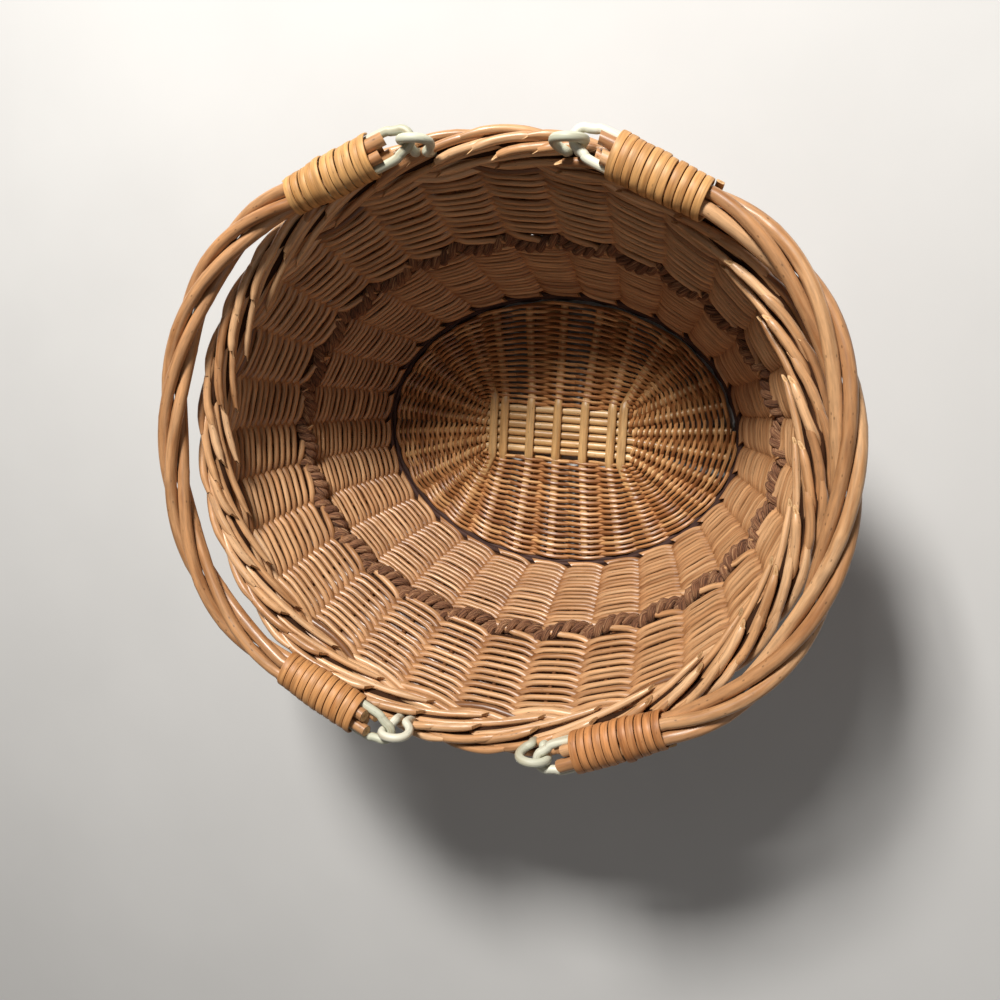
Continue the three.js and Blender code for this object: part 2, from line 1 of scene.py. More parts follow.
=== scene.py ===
# %% [markdown]
# An oval willow gathering basket with two swing handles.
# The solid frame comes first. It fixes the sizes, so each woven piece below is laid along the
# lines of its solid, and the box that the solids fill is kept for the last cell.

# %% Load the frame
import math

import bpy
import numpy as np
from mathutils import Euler, Matrix, Vector


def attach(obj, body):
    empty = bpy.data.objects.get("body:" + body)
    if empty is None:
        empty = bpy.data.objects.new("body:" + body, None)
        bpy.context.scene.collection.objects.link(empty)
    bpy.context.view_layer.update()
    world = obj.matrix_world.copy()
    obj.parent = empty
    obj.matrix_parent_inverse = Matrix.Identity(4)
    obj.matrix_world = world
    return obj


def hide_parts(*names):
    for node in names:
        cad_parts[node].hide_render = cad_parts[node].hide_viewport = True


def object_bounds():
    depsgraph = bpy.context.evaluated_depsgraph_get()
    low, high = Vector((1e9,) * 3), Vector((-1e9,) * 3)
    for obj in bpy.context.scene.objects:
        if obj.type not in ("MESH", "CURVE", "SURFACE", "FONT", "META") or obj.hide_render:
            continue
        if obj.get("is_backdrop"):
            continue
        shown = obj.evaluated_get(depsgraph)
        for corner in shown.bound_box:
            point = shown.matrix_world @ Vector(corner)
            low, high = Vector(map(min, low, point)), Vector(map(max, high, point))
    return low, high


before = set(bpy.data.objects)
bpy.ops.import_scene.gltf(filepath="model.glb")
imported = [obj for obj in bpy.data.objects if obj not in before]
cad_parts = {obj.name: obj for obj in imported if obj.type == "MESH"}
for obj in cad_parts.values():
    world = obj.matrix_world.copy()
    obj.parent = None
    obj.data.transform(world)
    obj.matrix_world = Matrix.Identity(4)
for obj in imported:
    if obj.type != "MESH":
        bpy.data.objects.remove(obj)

cad_low, cad_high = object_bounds()
bpy.ops.object.select_all(action="DESELECT")

# %% [markdown]
# The basket flares from an oval base to a nearly round rim. A maker sees this as three ovals,
# at the base, at the rope band and at the border. A smooth curve of height through the three
# gives the oval at any level, and a point of the wall is named by its turn round the oval, its
# height and how far it stands outside the middle of the wall.

# %% The shape of the wall
STAKES = 30
STAKE_ANGLE = 2 * math.pi / STAKES
BASE_Z, BAND_Z, BORDER_Z = 0.008, 0.105, 0.20014
HALF_LENGTHS = (0.153, 0.190, 0.211)
HALF_WIDTHS = (0.115, 0.151, 0.200)


def oval_size(z, sizes):
    levels = (BASE_Z, BAND_Z, BORDER_Z)
    total = 0
    for i, size in enumerate(sizes):
        a, b = [level for k, level in enumerate(levels) if k != i]
        total = total + size * (z - a) * (z - b) / ((levels[i] - a) * (levels[i] - b))
    return total


def wall_point(t, offset, z):
    t, offset, z = np.broadcast_arrays(t, offset, np.asarray(z, float))
    a = oval_size(z, HALF_LENGTHS)
    b = oval_size(z, HALF_WIDTHS)
    out = np.stack([np.cos(t) / a, np.sin(t) / b], -1)
    out /= np.linalg.norm(out, axis=-1, keepdims=True)
    x = a * np.cos(t) + out[..., 0] * offset
    y = b * np.sin(t) + out[..., 1] * offset
    return np.stack([x, y, z], -1)


def stake_turn(place):
    return (np.asarray(place, float) + 0.5) * STAKE_ANGLE


print("rim oval", wall_point(0, 0, BORDER_Z), wall_point(math.pi / 2, 0, BORDER_Z))

# %% [markdown]
# A willow rod is a long thin cone with small bumps where its buds sat and a slanting knife cut
# at the end. A bevelled curve could give a tube with its own radius at each point, but not one
# that is tall at some places and round at others, nor the slanting cuts. In a weave every rod
# also follows its own path, so no rod can be a copy of another. So each rod is described here by
# its path, thickness, flatness and cuts, and by a tone, because the rods of a bundle differ.

# %% Rods along paths
UP = np.array([0.0, 0.0, 1.0])
FIRST_BUD = (0.01, 0.05)
BUD_SPACING, BUD_JITTER, BUD_LENGTH = 0.045, 0.015, 0.0022
GRAIN_SHIFT = 7
rng = np.random.default_rng(20)


def unit(v):
    return v / np.linalg.norm(v, axis=-1, keepdims=True)


def path_length(points):
    steps = np.linalg.norm(np.diff(points, axis=0), axis=1)
    return np.concatenate([[0], np.cumsum(steps)])


def rod(points, radius, reference=UP, tone=None, flat=1.0, slants=(0.0, 0.0), bumps=0.0, edge=1.0):
    points = np.asarray(points, float)
    radius = np.broadcast_to(np.asarray(radius, float), (len(points),)).copy()
    length = path_length(points)
    if bumps:
        for place in np.arange(rng.uniform(*FIRST_BUD), length[-1], BUD_SPACING):
            place += rng.uniform(-BUD_JITTER, BUD_JITTER)
            radius *= 1 + bumps * np.exp(-(((length - place) / BUD_LENGTH) ** 2))
    tone = rng.uniform() if tone is None else tone
    flat = np.broadcast_to(np.asarray(flat, float), (len(points),))
    return dict(points=points, radius=radius, reference=np.asarray(reference, float), tone=tone,
                flat=flat, slants=slants, edge=edge, length=length + rng.uniform(0, GRAIN_SHIFT))


print("a bud about every", BUD_SPACING, "m")

# %% [markdown]
# A rod's shape is a row of rings of points along its path. A ring is as wide as the rod and as tall
# as its flatness says, in the direction that the rod is told is up. The first and the last ring are
# tilted, which makes the knife cuts.

# %% Rings of a rod
KNIFE_TURN = 0.6


def rounded(wave, edge):
    return np.sign(wave) * np.abs(wave) ** edge


def rod_rings(r, sides):
    along = unit(np.gradient(r["points"], axis=0))
    side = unit(np.cross(along, r["reference"]))
    up = np.cross(side, along)
    turn = -math.pi / 2 + 2 * math.pi * np.arange(sides) / sides
    across = rounded(np.cos(turn), r["edge"])
    upright = rounded(np.sin(turn), r["edge"])
    wide = across[None, :, None] * side[:, None]
    high = (upright[None, :] * r["flat"][:, None])[..., None] * up[:, None]
    rings = r["points"][:, None] + r["radius"][:, None, None] * (wide + high)
    for end, slant in zip((0, -1), r["slants"]):
        lift = (slant * r["radius"][end] * np.sin(turn + KNIFE_TURN))[:, None]
        rings[end] += lift * along[end]
    return rings


print("a cut is turned", round(math.degrees(KNIFE_TURN)), "degrees round the rod")

# %% [markdown]
# The rings are joined by four-sided faces. The skin is unwrapped as it is made: one coordinate runs
# along the rod in metres, the other goes round it, so that a pattern can follow the rod. Both ends
# are closed by a face of their own, since a cut shows the wood inside.

# %% Skin of a rod
CAP_MIDDLE, CAP_RADIUS, CAP_SIZE = 0.5, 0.4, 0.01


def skin_rods(rods, sides):
    verts, quads, caps, quad_uv, cap_uv, tones = [], [], [], [], [], []
    count = 0
    j = np.arange(sides)
    turn = 2 * math.pi * j / sides
    round_uv = (CAP_MIDDLE + CAP_RADIUS * np.stack([np.cos(turn), np.sin(turn)], -1)) * CAP_SIZE
    for r in rods:
        rings = rod_rings(r, sides)
        n = len(rings)
        i = np.arange(n - 1)[:, None]
        here = count + i * sides + j
        after = count + i * sides + (j + 1) % sides
        quads.append(np.stack([here, here + sides, after + sides, after], -1).reshape(-1, 4))
        u0, u1 = r["length"][:-1, None] + 0 * j, r["length"][1:, None] + 0 * j
        v0, v1 = j / sides + 0 * u0, (j + 1) / sides + 0 * u0
        uv = [np.stack([u, v], -1) for u, v in ((u0, v0), (u1, v0), (u1, v1), (u0, v1))]
        quad_uv.append(np.stack(uv, -2).reshape(-1, 2))
        caps += [count + j, count + (n - 1) * sides + j[::-1]]
        cap_uv += [round_uv, round_uv]
        verts.append(rings.reshape(-1, 3))
        tones.append(np.repeat(np.broadcast_to(r["tone"], n), sides))
        count += n * sides
    uv = np.concatenate(quad_uv + cap_uv)
    return np.concatenate(verts), np.concatenate(quads), np.array(caps), uv, np.concatenate(tones)


print("an end face is", 2 * CAP_RADIUS * CAP_SIZE, "wide on its map")

# %% [markdown]
# A piece is one mesh, of a single rod or of many, since a weave is handled as a whole. Faces that
# meet at a small angle are shaded smooth, and the cuts stay sharp. A piece rides on its body of the
# frame and takes the place of the solids that stand for it, where there are any.

# %% Laying a piece
SMOOTH_ANGLE = math.radians(50)
SKIN, CUT = 0, 1


def rod_mesh(name, rods, sides):
    verts, quads, caps, uv, tones = skin_rods(rods, sides)
    corners = np.concatenate([quads.ravel(), caps.ravel()])
    sizes = np.concatenate([np.full(len(quads), 4), np.full(len(caps), sides)])
    mesh = bpy.data.meshes.new(name)
    mesh.vertices.add(len(verts))
    mesh.vertices.foreach_set("co", verts.ravel())
    mesh.loops.add(len(corners))
    mesh.loops.foreach_set("vertex_index", corners)
    mesh.polygons.add(len(sizes))
    mesh.polygons.foreach_set("loop_start", np.concatenate([[0], np.cumsum(sizes)[:-1]]))
    mesh.polygons.foreach_set("material_index", np.repeat([SKIN, CUT], [len(quads), len(caps)]))
    mesh.uv_layers.new(name="rod")
    mesh.update(calc_edges=True)
    mesh.uv_layers["rod"].uv.foreach_set("vector", uv.ravel())
    mesh.attributes.new("tone", "FLOAT", "POINT").data.foreach_set("value", tones)
    mesh.validate()
    return mesh


def lay_rods(name, rods, skins, sides):
    mesh = rod_mesh(name, rods, sides)
    piece = bpy.data.objects.new(name, mesh)
    bpy.context.collection.objects.link(piece)
    bpy.ops.object.select_all(action="DESELECT")
    piece.select_set(True)
    bpy.context.view_layer.objects.active = piece
    bpy.ops.object.shade_smooth_by_angle(angle=SMOOTH_ANGLE)
    for skin in skins:
        mesh.materials.append(skin)
    print(name, len(rods), "rods,", len(mesh.polygons), "faces")
    return piece


def set_piece(piece, body, slot, *nodes):
    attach(piece, body)
    if nodes:
        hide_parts(*nodes)


print("edges are sharp from", round(math.degrees(SMOOTH_ANGLE)), "degrees")

# %% [markdown]
# A finish is a small net of nodes. It could be linked by hand in the shader editor. Here a helper
# adds one node, sets its sockets and passes it on. Colours are written as on a screen, from 0 to
# 255, and turned into the linear values that Blender uses.

# %% Nodes and colours


def new_finish(name):
    finish = bpy.data.materials.new(name)
    finish.use_nodes = True
    tree = finish.node_tree
    return finish, tree, tree.nodes["Principled BSDF"]


def add_node(tree, kind, inputs=None, **settings):
    node = tree.nodes.new(kind)
    for key, value in settings.items():
        setattr(node, key, value)
    for key, value in (inputs or {}).items():
        if isinstance(value, bpy.types.NodeSocket):
            tree.links.new(value, node.inputs[key])
        else:
            node.inputs[key].default_value = value
    return node


def colour(red, green, blue):
    linear = [((c / 255 + 0.055) / 1.055) ** 2.4 if c > 10 else c / 255 / 12.92
              for c in (red, green, blue)]
    return (*linear, 1.0)


def grey(value):
    return (value, value, value, 1.0)


def ramp(tree, factor, stops):
    node = add_node(tree, "ShaderNodeValToRGB", {"Fac": factor})
    elements = node.color_ramp.elements
    while len(elements) < len(stops):
        elements.new(0.5)
    for element, (place, value) in zip(elements, stops):
        element.position = place
        element.color = value
    return node.outputs["Color"]


print("a straw colour in linear values:", colour(220, 178, 136))

# %% [markdown]
# A pattern on a rod takes its place from the unwrapped skin. The turn round the rod is made a
# circle first, so that the pattern has no seam where the skin closes. Tints are multiplied into
# the colour one by one, and each rod's own tone is read from its mesh.

# %% Places and tints on a rod


def math_node(tree, operation, a, b=0.0):
    return add_node(tree, "ShaderNodeMath", {0: a, 1: b}, operation=operation).outputs[0]


def multiply(tree, base, tint):
    settings = dict(data_type="RGBA", blend_type="MULTIPLY")
    return add_node(tree, "ShaderNodeMix", {0: 1.0, 6: base, 7: tint}, **settings).outputs[2]


def round_coords(tree, along, around):
    uv = add_node(tree, "ShaderNodeUVMap", uv_map="rod")
    parts = add_node(tree, "ShaderNodeSeparateXYZ", {0: uv.outputs[0]})
    turn = math_node(tree, "MULTIPLY", parts.outputs[1], 2 * math.pi)
    x = math_node(tree, "MULTIPLY", parts.outputs[0], along)
    y = math_node(tree, "MULTIPLY", math_node(tree, "COSINE", turn), around)
    z = math_node(tree, "MULTIPLY", math_node(tree, "SINE", turn), around)
    return add_node(tree, "ShaderNodeCombineXYZ", {0: x, 1: y, 2: z}).outputs[0]


def rod_tone(tree):
    return add_node(tree, "ShaderNodeAttribute", attribute_name="tone").outputs["Fac"]


print("a pattern reads the map rod, and a rod's tone the attribute tone")

# %% [markdown]
# Buff willow is boiled before it is peeled, so its tannin turns the wood from pale straw to a
# reddish brown. The skin of each rod shows fine streaks along its length, larger dark and light
# patches and small dark specks. An image could be painted for it, but three noises of different
# scales fit rods of any length. They tint the rod's own tone, and the streaks also give the
# roughness and a fine relief.

# %% Willow finish
STREAK_SCALE, PATCH_SCALE, SPECK_SCALE = (45, 1.7), (14, 0.5), (130, 1.1)
PATCH_TINTS = [(0.32, (0.72, 0.62, 0.52, 1)), (0.5, grey(1.0)), (0.72, (1.18, 1.14, 1.08, 1))]
STREAK_DEPTH = 0.0006
WILLOW_TONES = [colour(100, 64, 40), colour(152, 106, 68), colour(184, 136, 94),
                colour(204, 158, 114), colour(220, 178, 136)]


def rod_finish(name, tones, streak=0.35, speck=0.5, rough=(0.26, 0.46), bump=0.25, gloss=0.55):
    finish, tree, shader = new_finish(name)
    base = ramp(tree, rod_tone(tree), [(i / (len(tones) - 1), c) for i, c in enumerate(tones)])
    lines = add_node(tree, "ShaderNodeTexNoise", {
        "Vector": round_coords(tree, *STREAK_SCALE), "Scale": 1.6, "Detail": 5, "Roughness": 0.6})
    dark_lines = ramp(tree, lines.outputs["Fac"], [(0.3, grey(1 - streak)), (0.62, grey(1.0))])
    base = multiply(tree, base, dark_lines)
    patches = add_node(tree, "ShaderNodeTexNoise", {
        "Vector": round_coords(tree, *PATCH_SCALE), "Scale": 1.5, "Detail": 2})
    base = multiply(tree, base, ramp(tree, patches.outputs["Fac"], PATCH_TINTS))
    specks = add_node(tree, "ShaderNodeTexVoronoi", {
        "Vector": round_coords(tree, *SPECK_SCALE), "Scale": 1.0, "Randomness": 1.0})
    spots = ramp(tree, specks.outputs["Distance"], [(0.07, grey(1 - speck)), (0.16, grey(1.0))])
    tree.links.new(multiply(tree, base, spots), shader.inputs["Base Color"])
    dull = ramp(tree, lines.outputs["Fac"], [(0.3, grey(rough[1])), (0.7, grey(rough[0]))])
    tree.links.new(dull, shader.inputs["Roughness"])
    relief = add_node(tree, "ShaderNodeBump", {
        "Height": lines.outputs["Fac"], "Strength": bump, "Distance": STREAK_DEPTH})
    tree.links.new(relief.outputs[0], shader.inputs["Normal"])
    shader.inputs["Specular IOR Level"].default_value = gloss
    return finish


willow = rod_finish("willow", WILLOW_TONES)
print("finish:", willow.name)

# %% [markdown]
# A cut end shows the inside of the rod: pale wood with a small brown pith in the middle and a
# rim of darker skin. Object coordinates give the fine grain, the end's own unwrapping the rings.

# %% Cut ends
CUT_TONES = [(0.0, colour(120, 76, 44)), (0.16, colour(196, 150, 100)),
             (0.8, colour(222, 184, 136)), (1.0, colour(150, 98, 58))]
GRAIN_SCALE, GRAIN_DEPTH = 900, 0.0004
cut_willow, tree, shader = new_finish("cut_willow")
uv = add_node(tree, "ShaderNodeUVMap", uv_map="rod")
pith = (CAP_MIDDLE * CAP_SIZE, CAP_MIDDLE * CAP_SIZE, 0)
from_pith = add_node(tree, "ShaderNodeVectorMath", {0: uv.outputs[0], 1: pith}, operation="DISTANCE")
share = math_node(tree, "MULTIPLY", from_pith.outputs["Value"], 1 / (CAP_RADIUS * CAP_SIZE))
spot = add_node(tree, "ShaderNodeTexCoord")
grain = add_node(tree, "ShaderNodeTexNoise", {
    "Vector": spot.outputs["Object"], "Scale": GRAIN_SCALE, "Detail": 3})
grain_tint = ramp(tree, grain.outputs["Fac"], [(0.35, grey(0.72)), (0.65, grey(1.05))])
speckled = multiply(tree, ramp(tree, share, CUT_TONES), grain_tint)
tree.links.new(speckled, shader.inputs["Base Color"])
relief = add_node(tree, "ShaderNodeBump", {
    "Height": grain.outputs["Fac"], "Strength": 0.3, "Distance": GRAIN_DEPTH})
tree.links.new(relief.outputs[0], shader.inputs["Normal"])
shader.inputs["Roughness"].default_value = 0.8
print("finish:", cut_willow.name)

# %% [markdown]
# Thirty stakes stand round the base and carry the weave. They show only in the gaps, as dark
# uprights: their colour is darkened as painted shade, since the gaps lie in shadow. A weave without
# them looks hollow. A straight cylinder would leave the curved wall, so each stake is a rod along
# the wall's own line, with a slight sway.

# %% Stakes
STAKE_RADIUS = 0.0018
STAKE_FOOT, STAKE_TOP, STAKE_POINTS = 0.005, 0.189, 26
STAKE_THICK = (0.0020, 0.0017)
STAKE_SWAY, SWAY_RATE = 0.0003, 90
# The stakes' finish is darker than the willow: painted shade, since they show only in the shaded gaps.
stake_willow_painted_shade = rod_finish("stake_willow_painted_shade", [colour(92, 58, 36), colour(118, 78, 50)], streak=0.4)
stakes = []
for k in range(STAKES):
    z = np.linspace(STAKE_FOOT, STAKE_TOP, STAKE_POINTS)
    line = wall_point(stake_turn(k), STAKE_SWAY * np.sin(z * SWAY_RATE + k), z)
    outward = unit(line[-1] * [1, 1, 0])
    stakes.append(rod(line, np.linspace(*STAKE_THICK, STAKE_POINTS), outward))
piece = lay_rods("stakes", stakes, [stake_willow_painted_shade, cut_willow], sides=8)
set_piece(piece, "basket", "willow")

# %% [markdown]
# The wall is French randed: beside every stake one weaver starts with its thick end inside,
# and each goes out, in, out, in past the next stakes while it climbs. At one stake every second
# pass lies inside, so the wall shows upright columns of rods that interlock in a zigzag between
# the stakes. The passes outside are taller than those inside, so that the pale floor doesn't shine
# through the gaps, and their colour is darkened as painted shade, so that the gaps look dark.

# %% One weaver
PASS_STEPS, LEAD = 10, 0.4
GRIP, SHARP_BEND = 0.85, 1.6
UNEVEN, EARLY_RISE = 0.0003, 0.10
BUTT_SWELL, TIP_LOSS, TIP_FADE = 0.0005, 0.3, 0.5
SHOWN_POWER = 1.5
# How much darker the outside passes are made: painted shade in the gaps.
TONE_SPREAD, OUTSIDE_PAINTED_SHADE = 0.14, 0.29
MEAN_HEIGHT, EXTRA_HEIGHT = 1.50, 0.45
WEAVER_CUTS, FINE_BUDS = (1.2, 0.8), 0.03
UP_THE_WALL = 0.001


def uneven_passes(s, passes):
    inside = np.arange(passes) % 2 == 0
    return np.interp(s, np.arange(passes), inside * rng.normal(0, UNEVEN, passes))


def weaver(k, bottom, top, passes, butt, tip, drop, proud, tone):
    lead = round(LEAD * PASS_STEPS)
    s = np.arange(-lead, (passes - 1) * PASS_STEPS + lead + 1) / PASS_STEPS
    done = np.clip(s / (passes - 1), 0, 1)
    radius = butt + (tip - butt) * done + BUTT_SWELL * np.clip(1 - s, 0, 1)
    rise = done + EARLY_RISE * done * (1 - done)
    z = bottom + butt + (top - bottom - butt - tip) * rise + uneven_passes(s, passes)
    reach = GRIP * (STAKE_RADIUS + radius) + uneven_passes(s, passes)
    swing = np.tanh(SHARP_BEND * np.cos(math.pi * s)) / math.tanh(SHARP_BEND)
    shown = rng.uniform(0, 1) ** SHOWN_POWER
    early = np.clip(-s / LEAD, 0, 1)
    offset = np.where(s < 0, -reach - proud * shown * early, -reach * swing)
    z = z - drop * shown * np.clip((LEAD - s) / (2 * LEAD), 0, 1)
    fade = np.clip((s - passes + 1) / TIP_FADE, 0, 1)
    # The outside passes are darkened here: painted shade in the gaps between the rods.
    tone = np.clip(tone + rng.normal(0, TONE_SPREAD) - OUTSIDE_PAINTED_SHADE * (1 - swing), 0, 1)
    line = wall_point(stake_turn(k + s), offset, z)
    lean = unit(wall_point(stake_turn(k + s), offset, z + UP_THE_WALL) - line)
    return rod(line, radius * (1 - TIP_LOSS * fade), lean, tone=tone,
               flat=MEAN_HEIGHT - EXTRA_HEIGHT * swing, slants=WEAVER_CUTS, bumps=FINE_BUDS)


print("points on each pass:", PASS_STEPS)

# %% [markdown]
# The lower wall has many passes of thin weavers. The upper one has fewer passes of thicker ones,
# whose thick ends hang a little free inside. Thirty weavers, one from each stake, fill a wall.

# %% Randed walls
LOWER_WEAVE = dict(bottom=0.0130, top=0.0985, passes=34, butt=0.0017, tip=0.0015,
                   drop=0.0005, proud=0.0, tone=0.66)
UPPER_WEAVE = dict(bottom=0.1082, top=0.1780, passes=22, butt=0.0020, tip=0.0019,
                   drop=0.006, proud=0.0055, tone=0.70)
for name, weave in (("lower", LOWER_WEAVE), ("upper", UPPER_WEAVE)):
    weavers = [weaver(k, **weave) for k in range(STAKES)]
    piece = lay_rods(f"{name}_weavers", weavers, [willow, cut_willow], sides=8)
    set_piece(piece, "basket", "willow", f"{name}_wall")

# %% [markdown]
# Between the two walls runs a band of thick dark rope. Its fibres are coarse and dull, from
# dark brown to straw, so one strong noise along each ply gives both the colour and the relief.

# %% Rope finish
FIBRE_SCALE, FIBRE_DEPTH = (34, 2.4), 0.0022
PLY_TONE = 0.12
ROPE_TONES = [(0.38, colour(54, 30, 20)), (0.48, colour(112, 70, 46)),
              (0.58, colour(156, 108, 74)), (0.70, colour(208, 166, 124))]
rope_dark, tree, shader = new_finish("seagrass")
fibres = add_node(tree, "ShaderNodeTexNoise", {
    "Vector": round_coords(tree, *FIBRE_SCALE), "Scale": 2.2, "Detail": 6, "Roughness": 0.7})
own_tone = math_node(tree, "MULTIPLY", rod_tone(tree), PLY_TONE)
shift = math_node(tree, "ADD", fibres.outputs["Fac"], own_tone)
tree.links.new(ramp(tree, shift, ROPE_TONES), shader.inputs["Base Color"])
relief = add_node(tree, "ShaderNodeBump", {
    "Height": fibres.outputs["Fac"], "Strength": 1.0, "Distance": FIBRE_DEPTH})
tree.links.new(relief.outputs[0], shader.inputs["Normal"])
shader.inputs["Roughness"].default_value = 0.72
print("finish:", rope_dark.name)

# %% [markdown]
# Two cords are paired: they twist round each other between the stakes, so one passes inside and
# one outside each stake. Every cord is itself laid from two plies. A Screw modifier would wind
# them round a straight line. These go round the cord's own line, so each ply is a path of its own.

# %% Rope band
PLY_RADIUS, PLY_SPREAD = 0.0033, 0.92
PLY_SWELL, PLY_SWELL_RATE = 0.05, 5.1
CORD_TWISTS = 75
ROPE_Z, ROPE_RISE = 0.1040, 0.0030
ROPE_WANDER, ROPE_WANDER_RATE = 0.0004, 2.3
ROPE_REACH = STAKE_RADIUS + 1.25 * PLY_RADIUS
ROPE_STEPS = 20


def plies(path, radius, twists, phase):
    along = unit(np.gradient(path, axis=0))
    side = unit(np.cross(along, UP))
    high = np.cross(side, along)
    turn = np.linspace(0, 2 * math.pi * twists, len(path))[:, None] + phase
    twins = []
    for half in (0, math.pi):
        shift = np.cos(turn + half) * side + np.sin(turn + half) * high
        twins.append(path + radius * PLY_SPREAD * shift)
    return twins


ropes = []
for strand in (0, 1):
    s = np.arange(0, STAKES * ROPE_STEPS + 1) / ROPE_STEPS
    phase = math.pi * (s + strand)
    z = ROPE_Z - ROPE_RISE * np.sin(phase) + ROPE_WANDER * np.sin(s * ROPE_WANDER_RATE)
    path = wall_point(stake_turn(s), -ROPE_REACH * np.cos(phase), z)
    thick = PLY_RADIUS * (1 + PLY_SWELL * np.sin(s * PLY_SWELL_RATE + strand))
    for ply in plies(path, PLY_RADIUS, CORD_TWISTS, strand):
        ropes.append(rod(ply, thick))
piece = lay_rods("rope_strands", ropes, [rope_dark], sides=8)
set_piece(piece, "basket", "seagrass", "rope_band")

# %% [markdown]
# Three rounds of waling lock the stakes under the border. Three rods work together: each passes
# outside two stakes and inside one, so the inside shows long overlapping runs like shingles. One
# round could be copied upwards, but the wall widens, so each round is laid at its own level.

# %% Wale
WALE_ROD, WALE_LEVELS, WALE_TONE = 0.0029, (0.1795, 0.1848, 0.1901), 0.65
WALE_SIDES = np.array([-1.0, 1.0, 1.0])
WALE_LIFTS = np.array([0.0, 0.55, -0.55])
WALE_STEPS, WALE_GRIP = 5, 0.8
WALE_SWELL, WALE_SWELL_RATE = 0.08, 0.7
ROD_TONE_SPREAD, THICK_BUDS = 0.2, 0.05


def near_tone(tone):
    return np.clip(tone + rng.normal(0, ROD_TONE_SPREAD), 0, 1)


def waled(level, radius, phase, tone):
    strands = []
    rods = len(WALE_SIDES)
    s = np.arange(0, STAKES * WALE_STEPS + 1) / WALE_STEPS
    part = (1 - np.cos(math.pi * (s - np.floor(s)))) / 2
    for i in range(rods):
        near = (np.floor(s) - i + phase).astype(int)
        go = WALE_SIDES[near % rods] * (1 - part) + WALE_SIDES[(near + 1) % rods] * part
        lift = WALE_LIFTS[near % rods] * (1 - part) + WALE_LIFTS[(near + 1) % rods] * part
        swell = 1 + WALE_SWELL * np.sin(s * WALE_SWELL_RATE + 2 * i)
        offset = WALE_GRIP * (STAKE_RADIUS + radius) * go
        line = wall_point(stake_turn(s), offset, level + radius * lift)
        strands.append(rod(line, radius * swell, tone=near_tone(tone), bumps=THICK_BUDS))
    return strands


wale = []
for n, level in enumerate(WALE_LEVELS):
    wale += waled(level, WALE_ROD, n, WALE_TONE)
piece = lay_rods("wale_rods", wale, [willow, cut_willow], sides=10)
set_piece(piece, "basket", "willow", "top_wale")

# %% [markdown]
# A bent rod springs into a smooth curve. So its line is drawn by a few points only, as the points
# of a curve are set by hand, and the helper passes smoothly through all of them.

# %% Smooth paths


def smooth_path(points, per_span):
    p = np.asarray(points, float)
    p = np.concatenate([[2 * p[0] - p[1]], p, [2 * p[-1] - p[-2]]])
    s = np.linspace(0, 1, per_span, endpoint=False)[:, None]
    out = []
    for a, b, c, d in zip(p[:-3], p[1:-2], p[2:-1], p[3:]):
        m, n = (c - a) / 2, (d - b) / 2
        out.append((2 * s**3 - 3 * s**2 + 1) * b + (s**3 - 2 * s**2 + s) * m
                   + (3 * s**2 - 2 * s**3) * c + (s**3 - s**2) * n)
    return np.concatenate(out + [p[-2:-1]])


print("three points with four steps between them:", len(smooth_path(np.eye(3), 4)), "points")

# %% [markdown]
# At the border each stake is bent down to the outside, carried along past the next stakes, brought
# over the top and tucked down inside. On its way it dives under its neighbours, so it shows as
# three runs, and each run ends in a slanting tip. Thirty tails lie below them inside. One line is
# drawn for a stake and one for a tail, as stakes passed and millimetres outward and up from the
# wall's line at the border, and every rod follows it with small chance differences.

# %% Border
MM = 0.001
BORDER_LINE = np.array([
    (-0.12, 0.0, -17.0), (0.05, 1.2, -9.5), (0.4, 4.8, -4.2), (0.8, 6.0, 0.6), (1.25, 4.7, 4.5),
    (1.7, 1.3, 6.3), (2.15, -2.6, 6.5), (2.6, -6.0, 5.6), (3.05, -8.8, 3.8)])
TAIL_LINE = np.array([
    (-0.5, -1.0, 0.0), (0.0, -5.0, 1.0), (0.45, -8.0, -0.4), (0.9, -10.4, -2.6),
    (1.35, -12.2, -5.4), (1.8, -13.4, -8.4)])
ROLL_MIDDLE = np.array([0.0, 0.5])
DIVE, DIVE_LEFT = -3.6, 0.15
BORDER_RUNS = ((0.0, 0.60, 0.0), (0.50, 0.82, DIVE), (0.72, 1.0, DIVE))
WHOLE_RUN = (0.0, 1.0, 0.0)
LIFT_PLACES, TIP_LIFTS = (0, 0.3, 0.85, 1), (0.7, 0.8)
TIP_START, TIP_SIDE = 0.7, 0.7
TAPER_PLACES, TAPER = (0, 0.15, 0.85, 1), (0.8, 1.03, 0.97, 0.6)
BORDER_STEPS, BORDER_WOBBLE, BORDER_STRAY = 10, 0.4, 0.05
BORDER_ROD, BORDER_TONE, BORDER_CUTS = 0.0030, 0.7, (0, -2.6)
TAIL_ROD, TAIL_TONE, TAIL_PLACE = 0.0025, 0.75, 0.3


def border_rod(place, line, run, radius, tone):
    begin, end, dip = run
    path = smooth_path(line, BORDER_STEPS)
    outward = unit(path[:, 1:] - ROLL_MIDDLE)
    onward = unit(np.gradient(path[:, 1:], axis=0))
    keep = slice(round(begin * (len(path) - 1)), round(end * (len(path) - 1)) + 1)
    path, outward, onward = path[keep], outward[keep], onward[keep]
    done = np.linspace(0, 1, len(path))
    swing = np.sin(math.pi * done)
    lift = np.interp(done, LIFT_PLACES, (dip, dip * DIVE_LEFT, *TIP_LIFTS))
    lift = lift + swing * rng.normal(0, BORDER_WOBBLE)
    side = np.interp(done, (TIP_START, 1), (0, TIP_SIDE)) + swing * rng.normal(0, BORDER_WOBBLE)
    section = path[:, 1:] + lift[:, None] * outward + side[:, None] * onward
    along = place + path[:, 0] + swing * rng.normal(0, BORDER_STRAY)
    points = wall_point(stake_turn(along), section[:, 0] * MM, BORDER_Z)
    points[:, 2] += section[:, 1] * MM
    radius = radius * np.interp(done, TAPER_PLACES, TAPER)
    return rod(points, radius, tone=near_tone(tone), slants=BORDER_CUTS, bumps=THICK_BUDS)


